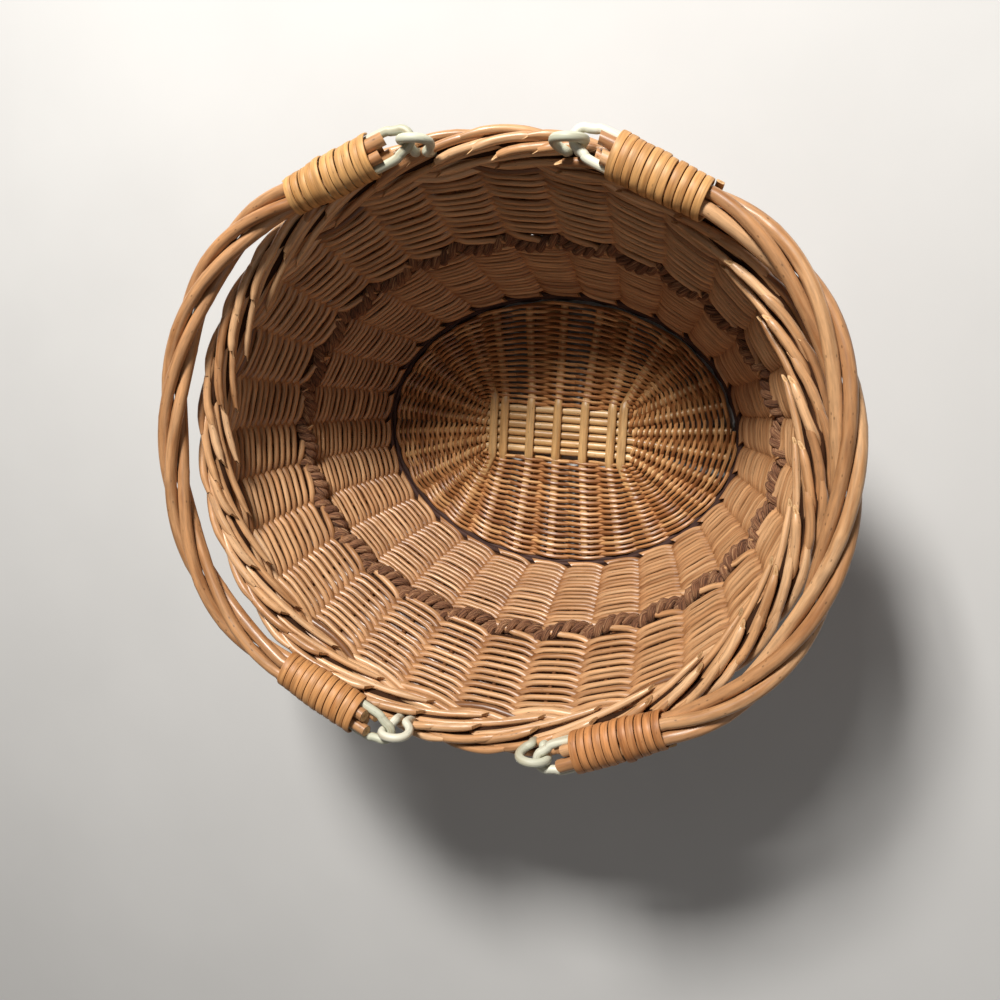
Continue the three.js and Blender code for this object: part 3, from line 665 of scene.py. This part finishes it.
border = [border_rod(k, BORDER_LINE, run, BORDER_ROD, BORDER_TONE)
          for k in range(STAKES) for run in BORDER_RUNS]
border += [border_rod(k + TAIL_PLACE, TAIL_LINE, WHOLE_RUN, TAIL_ROD, TAIL_TONE)
           for k in range(STAKES)]
piece = lay_rods("border_rods", border, [willow, cut_willow], sides=12)
set_piece(piece, "basket", "willow", "border_rod_1", "border_rod_2", "border_rod_3")

# %% [markdown]
# The inside of the roll is full of the stakes' hidden runs. Two rods fill it, so that no light comes
# through the grooves of the border. Their dark, dull colour is painted shade, so the grooves look deep.

# %% Border core
CORE_PLACES = ((0.0, 0.5, 0.0046), (-6.0, -3.0, 0.0036))
FULL_TURN = np.linspace(0, 2 * math.pi, 181)
# The core's finish is dark and dull: painted shade in the grooves of the border.
painted_shade_willow = rod_finish("painted_shade_willow", [colour(52, 32, 20), colour(70, 44, 28)],
                         rough=(0.8, 0.9), gloss=0.1)
core = []
for out, high, radius in CORE_PLACES:
    line = wall_point(FULL_TURN, out * MM, BORDER_Z)
    core.append(rod(line + UP * high * MM, radius))
piece = lay_rods("border_core", core, [painted_shade_willow, cut_willow], sides=10)
set_piece(piece, "basket", "willow")

# %% [markdown]
# The base is a slath: six long sticks are pushed through splits in seven cross sticks, and all
# are then fanned out like spokes. The sticks are pale and thick, and flattened where they cross.
# A stick runs straight through the slath and bends at its edge towards its place on the rim of the
# base, so a few points on its way are enough, with a smooth path through them.

# %% Long sticks
pale_willow = rod_finish("pale_willow", [colour(178, 132, 82), colour(204, 162, 108),
                                         colour(218, 180, 128)], bump=0.3)
SLATH_LENGTH, SLATH_WIDTH = 0.063, 0.025
EDGE_INSET, BEND_SHARE, BEND_LENGTH = 0.0088, 0.06, 0.010
FAN_STEPS = 6
LONG_STICKS, LONG_PITCH, LONG_RADIUS = 6, 0.0069, 0.003
LONG_FLAT, LONG_ROUNDER, LONG_TONES = 0.78, 0.3, (0.3, 1)


def base_edge(t, inset=EDGE_INSET):
    return wall_point(t, -inset, BASE_Z)


def fanned(first, inner, last):
    near = [a + (b - a) * BEND_SHARE for a, b in (
        (inner[0], first), (inner[0], inner[-1]), (inner[-1], inner[0]), (inner[-1], last))]
    keys = [first, first + (inner[0] - first) * 0.5, near[0], near[1], inner[1],
            near[2], near[3], last + (inner[-1] - last) * 0.5, last]
    return smooth_path(keys, FAN_STEPS)


long_sticks = []
spokes = {}
for row in range(LONG_STICKS):
    from_middle = row - (LONG_STICKS - 1) / 2
    t = from_middle * STAKE_ANGLE
    y = from_middle * LONG_PITCH
    inner = [np.array([x, y, BASE_Z]) for x in (-SLATH_LENGTH, 0, SLATH_LENGTH)]
    route = fanned(base_edge(math.pi - t), inner, base_edge(t))
    spokes[t % (2 * math.pi)] = (inner[2], base_edge(t))
    spokes[(math.pi - t) % (2 * math.pi)] = (inner[0], base_edge(math.pi - t))
    away = np.clip((np.abs(route[:, 0]) - SLATH_LENGTH) / BEND_LENGTH, 0, 1)
    long_sticks.append(rod(route, LONG_RADIUS, tone=rng.uniform(*LONG_TONES),
                           flat=LONG_FLAT + LONG_ROUNDER * away, bumps=FINE_BUDS))
piece = lay_rods("long_sticks", long_sticks, [pale_willow, cut_willow], sides=12)
set_piece(piece, "basket", "pale_willow", *[f"long_stick_{n + 1}" for n in range(LONG_STICKS)])

# %% [markdown]
# A cross stick is split with a knife, and the long sticks go through the slit. A slit could be cut
# into a round stick by a Boolean. Two flat halves that part over and under the long sticks, and
# close again towards the edge, show the bulge of the split wood better.

# %% Pierced cross sticks
CROSS_PLACES = [-0.056, -0.0465, -0.0234, 0.0, 0.0234, 0.0465, 0.056]
CROSS_RADIUS, CROSS_TONES = 0.0036, (0.4, 1)
SPLIT_END, SPLIT_OPEN, SPLIT_CLOSED = 0.0205, 0.0041, 0.0009
SPLIT_FLAT, SPLIT_ROUNDER = 0.5, 0.28
cross_sticks = []
for n, x in enumerate(CROSS_PLACES):
    t = math.pi / 2 - (n - len(CROSS_PLACES) // 2) * STAKE_ANGLE
    inner = [np.array([x, y, BASE_Z]) for y in (-SLATH_WIDTH, 0, SLATH_WIDTH)]
    route = fanned(base_edge(-t), inner, base_edge(t))
    spokes[t % (2 * math.pi)] = (inner[2], base_edge(t))
    spokes[-t % (2 * math.pi)] = (inner[0], base_edge(-t))
    tone = rng.uniform(*CROSS_TONES)
    away = np.clip((np.abs(route[:, 1]) - SPLIT_END) / BEND_LENGTH, 0, 1)
    away = away * away * (3 - 2 * away)
    flat = SPLIT_FLAT + SPLIT_ROUNDER * away
    for half in (1, -1):
        split = route.copy()
        split[:, 2] += half * (SPLIT_OPEN * (1 - away) + SPLIT_CLOSED * away)
        cross_sticks.append(rod(split, CROSS_RADIUS, tone=tone, flat=flat, bumps=FINE_BUDS))
piece = lay_rods("cross_sticks", cross_sticks, [pale_willow, cut_willow], sides=12)
set_piece(piece, "basket", "pale_willow", *[f"cross_stick_{n + 1}" for n in range(len(CROSS_PLACES))])

# %% [markdown]
# Between the fans one more stick is pushed into the weave at each corner of the slath. It is
# straight, and begins a little outside the corner with a cut end.

# %% Corner sticks
CORNER_TURN, CORNER_SETBACK = math.radians(42), 0.004
CORNER_RADIUS, CORNER_TONES, CORNER_CUTS = 0.0030, (0.3, 0.9), (0.8, 0)
CORNER_POINTS = 14
corner_sticks = []
for t in (CORNER_TURN, math.pi - CORNER_TURN, math.pi + CORNER_TURN, 2 * math.pi - CORNER_TURN):
    to_corner = np.array([math.copysign(1, math.cos(t)), math.copysign(1, math.sin(t)), 0])
    start = to_corner * [SLATH_LENGTH + CORNER_SETBACK, SLATH_WIDTH + CORNER_SETBACK, 0] + UP * BASE_Z
    spokes[t] = (start - to_corner * CORNER_SETBACK, base_edge(t))
    line = np.linspace(start, base_edge(t), CORNER_POINTS)
    corner_sticks.append(rod(line, CORNER_RADIUS, tone=rng.uniform(*CORNER_TONES), slants=CORNER_CUTS))
piece = lay_rods("corner_sticks", corner_sticks, [pale_willow, cut_willow], sides=10)
set_piece(piece, "basket", "pale_willow", *[f"corner_stick_{n + 1}" for n in range(len(corner_sticks))])
print("spokes of the base:", len(spokes))

# %% [markdown]
# Two thin weavers are paired round the spokes in a spiral from the slath to the edge. One goes
# over a spoke while the other goes under, and they change places before the next one. Between
# two rounds the spoke shows as a row of pale beads. Rings could be laid side by side, but a
# spiral has no seams, and it fills the odd shape between the slath and the oval edge evenly.

# %% Base weave
base_willow = rod_finish("base_willow", [colour(146, 94, 54), colour(190, 134, 84),
                                         colour(220, 172, 118)], streak=0.45)
ROUNDS, FIRST_ROUND, STRAND_LEAD, SPARE_ROUND = 18, 0.3, 0.2, 0.5
PAIR_RADIUS, PAIR_SWELL, PAIR_SWELL_RATE = 0.0015, 0.12, 0.11
PAIR_RISE, PAIR_UNEVEN, PAIR_SWAY = 0.0038, 0.0001, 0.0008
PAIR_STEPS = 5
SLATH_EDGE = np.array([0.0602, 0.0196, math.inf])
LAST_INSET = 0.0054
TONE_RUN = 17
turns_in_order = sorted(spokes)
inner_ends = np.clip([spokes[t][0] for t in turns_in_order], -SLATH_EDGE, SLATH_EDGE)
outer_ends = np.array([base_edge(t, LAST_INSET) for t in turns_in_order])
pairs = []
for strand in (0, 1):
    k = np.arange(ROUNDS * STAKES + 1)
    share = (k / STAKES + FIRST_ROUND + STRAND_LEAD * strand) / (ROUNDS + SPARE_ROUND)
    keys = inner_ends[k % STAKES] + (outer_ends - inner_ends)[k % STAKES] * share[:, None]
    path = smooth_path(keys, PAIR_STEPS)
    s = np.linspace(0, ROUNDS * STAKES, len(path))
    phase = math.pi * (s + strand)
    path[:, 2] += PAIR_RISE * np.cos(phase) + rng.normal(0, PAIR_UNEVEN, len(path))
    outward = unit(path * [1, 1, 0])
    path += outward * (PAIR_SWAY * np.sin(phase))[:, None]
    changes = np.arange(0, s[-1], TONE_RUN)
    tone = np.interp(s, changes, rng.uniform(0, 1, len(changes)))
    thick = PAIR_RADIUS * (1 + PAIR_SWELL * np.sin(s * PAIR_SWELL_RATE + strand))
    pairs.append(rod(path, thick, tone=tone))
piece = lay_rods("base_pairing", pairs, [base_willow, cut_willow], sides=6)
set_piece(piece, "basket", "base_willow", "base_weave")

# %% [markdown]
# Where the base meets the wall, rounds of a dark purplish strand are waled over the stakes. They
# form the foot that the basket stands on, and the helper for the wale lays them too. Two plain
# rounds lie inside them and close the corner between the base and the wall.

# %% Foot
FOOT_ROD, FOOT_LEVELS, FOOT_TONE = 0.0020, (0.0036, 0.0072, 0.0108), 0.5
PLAIN_ROUNDS, PLAIN_TONE = ((-0.0036, 0.0082), (-0.0030, 0.0122)), 0.4
PLAIN_WAVE, PLAIN_WAVES = 0.0004, STAKES // 2
dark_strand = rod_finish("dark_strand", [colour(56, 38, 36), colour(80, 56, 50), colour(108, 78, 66)],
                         streak=0.5, rough=(0.6, 0.8), bump=0.5, gloss=0.25)
foot = []
for n, level in enumerate(FOOT_LEVELS):
    foot += waled(level, FOOT_ROD, n, FOOT_TONE)
for out, level in PLAIN_ROUNDS:
    line = wall_point(FULL_TURN, out + PLAIN_WAVE * np.sin(PLAIN_WAVES * FULL_TURN), level)
    foot.append(rod(line, FOOT_ROD, tone=PLAIN_TONE))
piece = lay_rods("foot_strands", foot, [dark_strand], sides=8)
set_piece(piece, "basket", "dark_strand", "foot_wale")

# %% [markdown]
# The loops are of round cane, which is smooth, dull and a pale greyish green beside the willow.
# The finish of the rods serves for it, with its own tones and weaker streaks and specks.

# %% Cane finish
loop_cane = rod_finish("loop_cane", [colour(186, 188, 168), colour(206, 207, 190), colour(218, 216, 200)],
                       streak=0.16, speck=0.22, rough=(0.42, 0.6), bump=0.15)
print("finish:", loop_cane.name)

# %% [markdown]
# Each handle end hangs in a loop of cane. Its two legs come up between the rods of the border, and
# above them it stands as a round eye, so that the handle can turn in it. One loop's line is drawn
# here, for the corner at the back on the right.

# %% Line of a border loop
LOOP_RADIUS, LOOP_NECK = 0.0030, 0.0085
HINGE = np.array([0.04954, 0.19602, 0.22237])
EYE_RADIUS, EYE_LEAN, EYE_POINTS = 0.0095, 0.005, 15
EYE_UPRIGHT = math.radians(-20), math.radians(120)
LEG_LEVELS, LEG_INSET = (0.194, 0.198, 0.202, 0.206, 0.210), 0.0005


def wall_y(x, z):
    a, b = oval_size(z, HALF_LENGTHS), oval_size(z, HALF_WIDTHS)
    return b * math.sqrt(1 - (x / a) ** 2)


def loop_leg(x):
    last = HINGE[1] - EYE_LEAN - wall_y(x, BORDER_Z)
    offsets = np.interp(LEG_LEVELS, (LEG_LEVELS[0], LEG_LEVELS[-1]), (-LEG_INSET, last))
    return [(x, wall_y(x, min(z, BORDER_Z)) + offset, z) for z, offset in zip(LEG_LEVELS, offsets)]


def border_loop():
    neck = math.acos(LOOP_NECK / 2 / EYE_RADIUS)
    eye = []
    for turn in np.linspace(-neck, math.pi + neck, EYE_POINTS):
        before = (EYE_UPRIGHT[0] - turn) / (EYE_UPRIGHT[0] + neck)
        after = (turn - EYE_UPRIGHT[1]) / (math.pi + neck - EYE_UPRIGHT[1])
        lean = EYE_LEAN * max(before, after, 0) ** 2
        eye.append(HINGE + [EYE_RADIUS * math.cos(turn), -lean, EYE_RADIUS * math.sin(turn)])
    right_leg = loop_leg(HINGE[0] + LOOP_NECK / 2)
    left_leg = loop_leg(HINGE[0] - LOOP_NECK / 2)
    return np.array(right_leg + eye + left_leg[::-1])


print("points of a loop:", len(border_loop()))

# %% [markdown]
# The line is mirrored to the other corners before its skin is made, so that no mesh is turned
# inside out. A bevelled curve could serve here, but a rod gets the same unwrapping as the others.
# A loop turns in all directions, so no fixed direction is up for all its rings. Each ring takes
# its direction from the ring before it instead.

# %% Border loops
CANE_STEPS, FIRST_SIDE = 6, np.array([0.3, 0.2, 1.0])
CORNERS = {"front_left": (-1, -1), "front_right": (1, -1), "back_left": (-1, 1), "back_right": (1, 1)}


def lay_cane(name, points, tone):
    path = smooth_path(points, CANE_STEPS)
    along = unit(np.gradient(path, axis=0))
    side = np.zeros_like(path)
    side[0] = unit(np.cross(along[0], FIRST_SIDE))
    for i in range(1, len(path)):
        side[i] = unit(side[i - 1] - along[i] * np.dot(side[i - 1], along[i]))
    cane = rod(path, LOOP_RADIUS, np.cross(side, along), tone)
    return lay_rods(name, [cane], [loop_cane, cut_willow], sides=14)


for name, sides in CORNERS.items():
    piece = lay_cane(f"{name}_border_cane", border_loop() * [*sides, 1], rng.uniform())
    set_piece(piece, "basket", "loop_cane", f"border_loop_{name}")

# %% [markdown]
# A swing handle is an arch of willow. Its middle line runs straight under the binding at each end
# and goes over into one wide curve. Two handles of a Bezier curve shape half of the arch, as they
# would by hand, and the other half is its mirror image.

# %% Line of a handle
HANDLE_LEAN = 0.432322
LINK = np.array([0.059, HINGE[1], 0.22327])
ALONG = np.array([math.cos(HANDLE_LEAN), -math.sin(HANDLE_LEAN), 0])
AWAY = np.array([math.sin(HANDLE_LEAN), math.cos(HANDLE_LEAN), 0])
BUNDLE_START, BINDING_END = 0.009, 0.08615
APEX_X, ARCH_PULL, APEX_PULL = 0.227, 0.070, 0.065
ARCH_POINTS, LEAD_POINTS = 60, 14


def bezier(a, b, c, d, count):
    u = np.linspace(0, 1, count)[:, None]
    return (1 - u) ** 3 * a + 3 * u * (1 - u) ** 2 * b + 3 * u * u * (1 - u) * c + u**3 * d


def handle_line():
    start = LINK + ALONG * BINDING_END
    apex = np.array([APEX_X, 0, LINK[2]])
    before_apex = np.array([APEX_X, APEX_PULL, LINK[2]])
    half = bezier(start, start + ALONG * ARCH_PULL, before_apex, apex, ARCH_POINTS)
    arch = np.concatenate([half, half[-2::-1] * [1, -1, 1]])
    lead = np.linspace(LINK + ALONG * BUNDLE_START, start, LEAD_POINTS)[:-1]
    return np.concatenate([lead, arch, lead[::-1] * [1, -1, 1]]), len(lead)


print("length of a handle:", round(path_length(handle_line()[0])[-1], 3), "m")

# %% [markdown]
# Four rods make the bundle. They lie straight under the bindings and turn slowly round each other
# along the arch. One rod could be copied four times, but that looks too even, so each has its own
# wander and taper. The left handle is laid along the same lines, turned half round.

# %% Handle rods
HANDLE_ROD, HANDLE_RODS, ROD_OFFSET = 0.0042, 4, 0.00634
BUNDLE_TWISTS, BUNDLE_WANDER, BUNDLE_WANDER_RATE = 1.5, 0.04, 17
ROD_TAPER, HANDLE_TONES, HANDLE_CUTS = 0.05, (0.45, 0.85), (0.35, 0.35)


def handle_rods(side):
    line, lead = handle_line()
    along = unit(np.gradient(line, axis=0))
    across = np.cross(UP, along)
    length = path_length(line)
    done = np.clip((length - length[lead]) / (length[-1 - lead] - length[lead]), 0, 1)
    flip = np.array([side, side, 1])
    for number in range(HANDLE_RODS):
        odd = number % 2
        turn = 2 * math.pi * ((number + 0.5) / HANDLE_RODS + BUNDLE_TWISTS * done)
        wander = 1 + BUNDLE_WANDER * np.sin(done * BUNDLE_WANDER_RATE + 2 * number)
        path = line + ROD_OFFSET * wander[:, None] * (
            np.cos(turn)[:, None] * across + np.sin(turn)[:, None] * UP)
        path = path[odd:len(path) - odd]
        growth = 1 if odd else -1
        thick = HANDLE_ROD * (1.0 - ROD_TAPER * np.linspace(-1, 1, len(path)) * growth)
        yield number, rod(path * flip, thick, tone=rng.uniform(*HANDLE_TONES),
                          slants=HANDLE_CUTS, bumps=THICK_BUDS)


for name, side in (("right", 1), ("left", -1)):
    for number, one in handle_rods(side):
        piece = lay_rods(f"{name}_twisted_rod_{number + 1}", [one], [willow, cut_willow], sides=16)
        set_piece(piece, f"{name}_handle", "willow", f"{name}_handle_rod_{number + 1}")

# %% [markdown]
# The handle's own loop is a hairpin of the same cane. It hooks through the eye on the border, and
# its two legs lie in the grooves between the rods, held by the binding. Its line is drawn once in
# the handle's own directions, along the bundle and away from it, and mirrored to the other ends.

# %% Handle loops
GROOVE, LINK_PLAY = 0.0094, 0.0006
HAIRPIN_RADIUS, HAIRPIN_POINTS = 2 * LOOP_RADIUS + LINK_PLAY, 9
LEG_LENGTH, LEG_MIDDLE, LEG_BEND = 0.057, 0.033, 0.009
LEG_SHARE, HOOK_SHARE = 0.45, 0.55
HANDLE_ENDS = {"right": ((1, 1, "back"), (1, -1, "front")), "left": ((-1, -1, "front"), (-1, 1, "back"))}


def handle_loop():
    legs = []
    for side in (1, -1):
        leg = [LINK + ALONG * distance + AWAY * side * GROOVE
               for distance in (LEG_LENGTH, LEG_MIDDLE, LEG_BEND)]
        hook = LINK + AWAY * side * HAIRPIN_RADIUS
        leg.append(leg[-1] * LEG_SHARE + hook * HOOK_SHARE)
        legs.append(leg)
    bend = [LINK + HAIRPIN_RADIUS * (AWAY * math.cos(turn) - ALONG * math.sin(turn))
            for turn in np.linspace(0, math.pi, HAIRPIN_POINTS)]
    return np.array(legs[0] + bend + legs[1][::-1])


for name, ends in HANDLE_ENDS.items():
    for x, y, end in ends:
        piece = lay_cane(f"{name}_{end}_handle_cane", handle_loop() * [x, y, 1], rng.uniform())
        set_piece(piece, f"{name}_handle", "loop_cane", f"{name}_handle_loop_{end}")

# %% [markdown]
# The bindings are of flat cane, redder than the rods and a little dull. Its streaks run along the
# strip, so the finish of the rods serves once more.

# %% Binding finish
BINDING_TONES = [colour(184, 120, 72), colour(200, 142, 90), colour(212, 170, 106)]
binding_cane = rod_finish("binding_cane", BINDING_TONES,
                          streak=0.4, speck=0.35, rough=(0.42, 0.6), gloss=0.4)
print("finish:", binding_cane.name)

# %% [markdown]
# The strip is wound round the bundle from its cut ends towards the arch. It is a rod too, wide and
# thin with squarish edges. A Screw modifier winds round a circle, but this path goes round an oval
# that narrows once the hairpin's legs end, so it is worked out point by point. Each turn lies close
# beside the last with a thin dark gap.

# %% Bindings
BINDING_START, BINDING_LOOPS, BINDING_PITCH = 0.019, 11, 0.00565
STRIP_WIDTH, STRIP_THICKNESS, STRIP_EDGE = 0.0053, 0.0016, 0.6
BINDING_WIDE, BINDING_HIGH, BINDING_TAPER = 0.0128, 0.0110, 0.018
STRIP_SLACK, TURN_STEPS = 0.0003, 28
STRIP_TONES = {"right_back": 0.7, "right_front": 0.3, "left_front": 0.55, "left_back": 0.75}


def binding(x, y, tone):
    turns = np.arange(BINDING_LOOPS * TURN_STEPS + 1) / TURN_STEPS
    turn = 2 * math.pi * turns
    slack = rng.normal(0, STRIP_SLACK, BINDING_LOOPS + 1)
    loose = np.interp(turns, np.arange(BINDING_LOOPS + 1), slack)
    distance = BINDING_START + STRIP_WIDTH / 2 + BINDING_PITCH * turns + loose
    taper = np.clip((distance - LEG_LENGTH) / BINDING_TAPER, 0, 1)
    wide = BINDING_WIDE + (BINDING_HIGH - BINDING_WIDE) * taper
    inner = wide * BINDING_HIGH / np.hypot(BINDING_HIGH * np.cos(turn), wide * np.sin(turn))
    out = np.cos(turn)[:, None] * AWAY + np.sin(turn)[:, None] * UP
    middle = (inner + STRIP_THICKNESS / 2 + loose)[:, None]
    centre = LINK + distance[:, None] * ALONG + out * middle
    return rod(centre * [x, y, 1], STRIP_WIDTH / 2, out * [x, y, 1], tone=tone,
               flat=STRIP_THICKNESS / STRIP_WIDTH, edge=STRIP_EDGE)


for name, ends in HANDLE_ENDS.items():
    for x, y, end in ends:
        strip = binding(x, y, STRIP_TONES[f"{name}_{end}"])
        piece = lay_rods(f"{name}_{end}_winding", [strip], [binding_cane, cut_willow], sides=12)
        set_piece(piece, f"{name}_handle", "binding_cane", f"{name}_binding_{end}")

# %% [markdown]
# Where the weave changes, just above the foot and just above the rope, a real wall is packed with
# odd short ends, and no light shines through. Two rings between the inside and the outside passes
# stand for this packing. They take the dark finish of the border core, which is painted shade, and
# are hardly seen themselves.

# %% Packing
PACKING_LEVELS, PACKING_RADIUS = (0.0140, 0.1105), 0.0021
packing = [rod(wall_point(FULL_TURN, 0.0, level), PACKING_RADIUS) for level in PACKING_LEVELS]
# The rings take the core's dark finish: painted shade.
piece = lay_rods("packing_rings", packing, [painted_shade_willow, cut_willow], sides=8)
set_piece(piece, "basket", "willow")

# %% [markdown]
# The floor is a plain pale sheet, a little below the foot so that the two never share a plane.
# A faint mottling on Object coordinates keeps it from looking flat.

# %% Floor
FLOOR_SIZE, FLOOR_Z = 6, -0.0005
bpy.ops.object.select_all(action="DESELECT")
bpy.ops.mesh.primitive_plane_add(size=FLOOR_SIZE, location=(0, 0, FLOOR_Z))
floor = bpy.context.object
floor.name = "floor"
floor_pale, tree, shader = new_finish("floor_pale")
place = add_node(tree, "ShaderNodeTexCoord")
mottle = add_node(tree, "ShaderNodeTexNoise", {"Vector": place.outputs["Object"], "Scale": 6, "Detail": 4})
paper = ramp(tree, mottle.outputs["Fac"], [(0.3, grey(0.58)), (0.7, grey(0.61))])
tree.links.new(paper, shader.inputs["Base Color"])
shader.inputs["Roughness"].default_value = 0.9
floor.data.materials.append(floor_pale)
floor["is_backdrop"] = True
print("floor", FLOOR_SIZE, "m wide")

# %% [markdown]
# In the photograph the inside of the front and right wall is bright and the back lies in shade.
# So the light comes from behind, from high up and a little from the left, where one soft lamp
# stands. A weak wide one from the front right and a dim warm sky fill the shadows.

# %% Light
LIT_POINT = Vector((0, 0, 0.1))
SKY_TINT, SKY_STRENGTH = (1.0, 0.93, 0.85, 1), 0.12


def soft_lamp(name, place, size, power, tint):
    bpy.ops.object.light_add(type="AREA", location=place)
    lamp = bpy.context.object
    lamp.name = name
    lamp.data.size = size
    lamp.data.energy = power
    lamp.data.color = tint
    lamp.rotation_euler = (LIT_POINT - Vector(place)).to_track_quat("-Z", "Y").to_euler()
    print(name, power, "W at", place)


soft_lamp("key_lamp", place=(-0.25, 1.2, 1.45), size=0.35, power=54, tint=(1.0, 0.97, 0.92))
soft_lamp("fill_lamp", place=(0.9, -0.9, 1.5), size=1.4, power=2.5, tint=(0.95, 0.97, 1.0))
world = bpy.data.worlds.new("studio")
bpy.context.scene.world = world
world.use_nodes = True
sky = world.node_tree.nodes["Background"]
sky.inputs["Color"].default_value = SKY_TINT
sky.inputs["Strength"].default_value = SKY_STRENGTH

# %% [markdown]
# The camera stands above the right end of the basket and looks down to the left, so that the rim
# and the base lie as in the photograph. A Track To constraint could aim it at the base, but the
# photograph is also rolled a little, so its three angles are given. The lens is as long as the
# sensor is wide, which is a view of 53 degrees.

# %% Camera
CAMERA_PLACE = Vector((0.20333, 0.08185, 0.82950))
CAMERA_ANGLES = (-8.7665, 17.4673, 2.9511)
LENS, SENSOR, NEAREST = 36, 36, 0.01
camera_data = bpy.data.cameras.new("camera")
camera = bpy.data.objects.new("camera", camera_data)
bpy.context.collection.objects.link(camera)
camera_data.lens = LENS
camera_data.sensor_width = SENSOR
camera_data.clip_start = NEAREST
camera_turn = Euler([math.radians(angle) for angle in CAMERA_ANGLES])
camera.matrix_world = Matrix.LocRotScale(CAMERA_PLACE, camera_turn, None)
bpy.context.scene.camera = camera
bpy.context.scene.view_settings.view_transform = "Standard"
print("camera at", tuple(camera.location))

# %% [markdown]
# The box round the finished pieces is measured and kept beside the box of the solids, and both are
# printed.

# %% Sizes and finish
low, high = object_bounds()
sizes = {"cad": [list(map(float, cad_low)), list(map(float, cad_high))],
         "visual": [list(map(float, low)), list(map(float, high))]}
print("sizes", sizes)
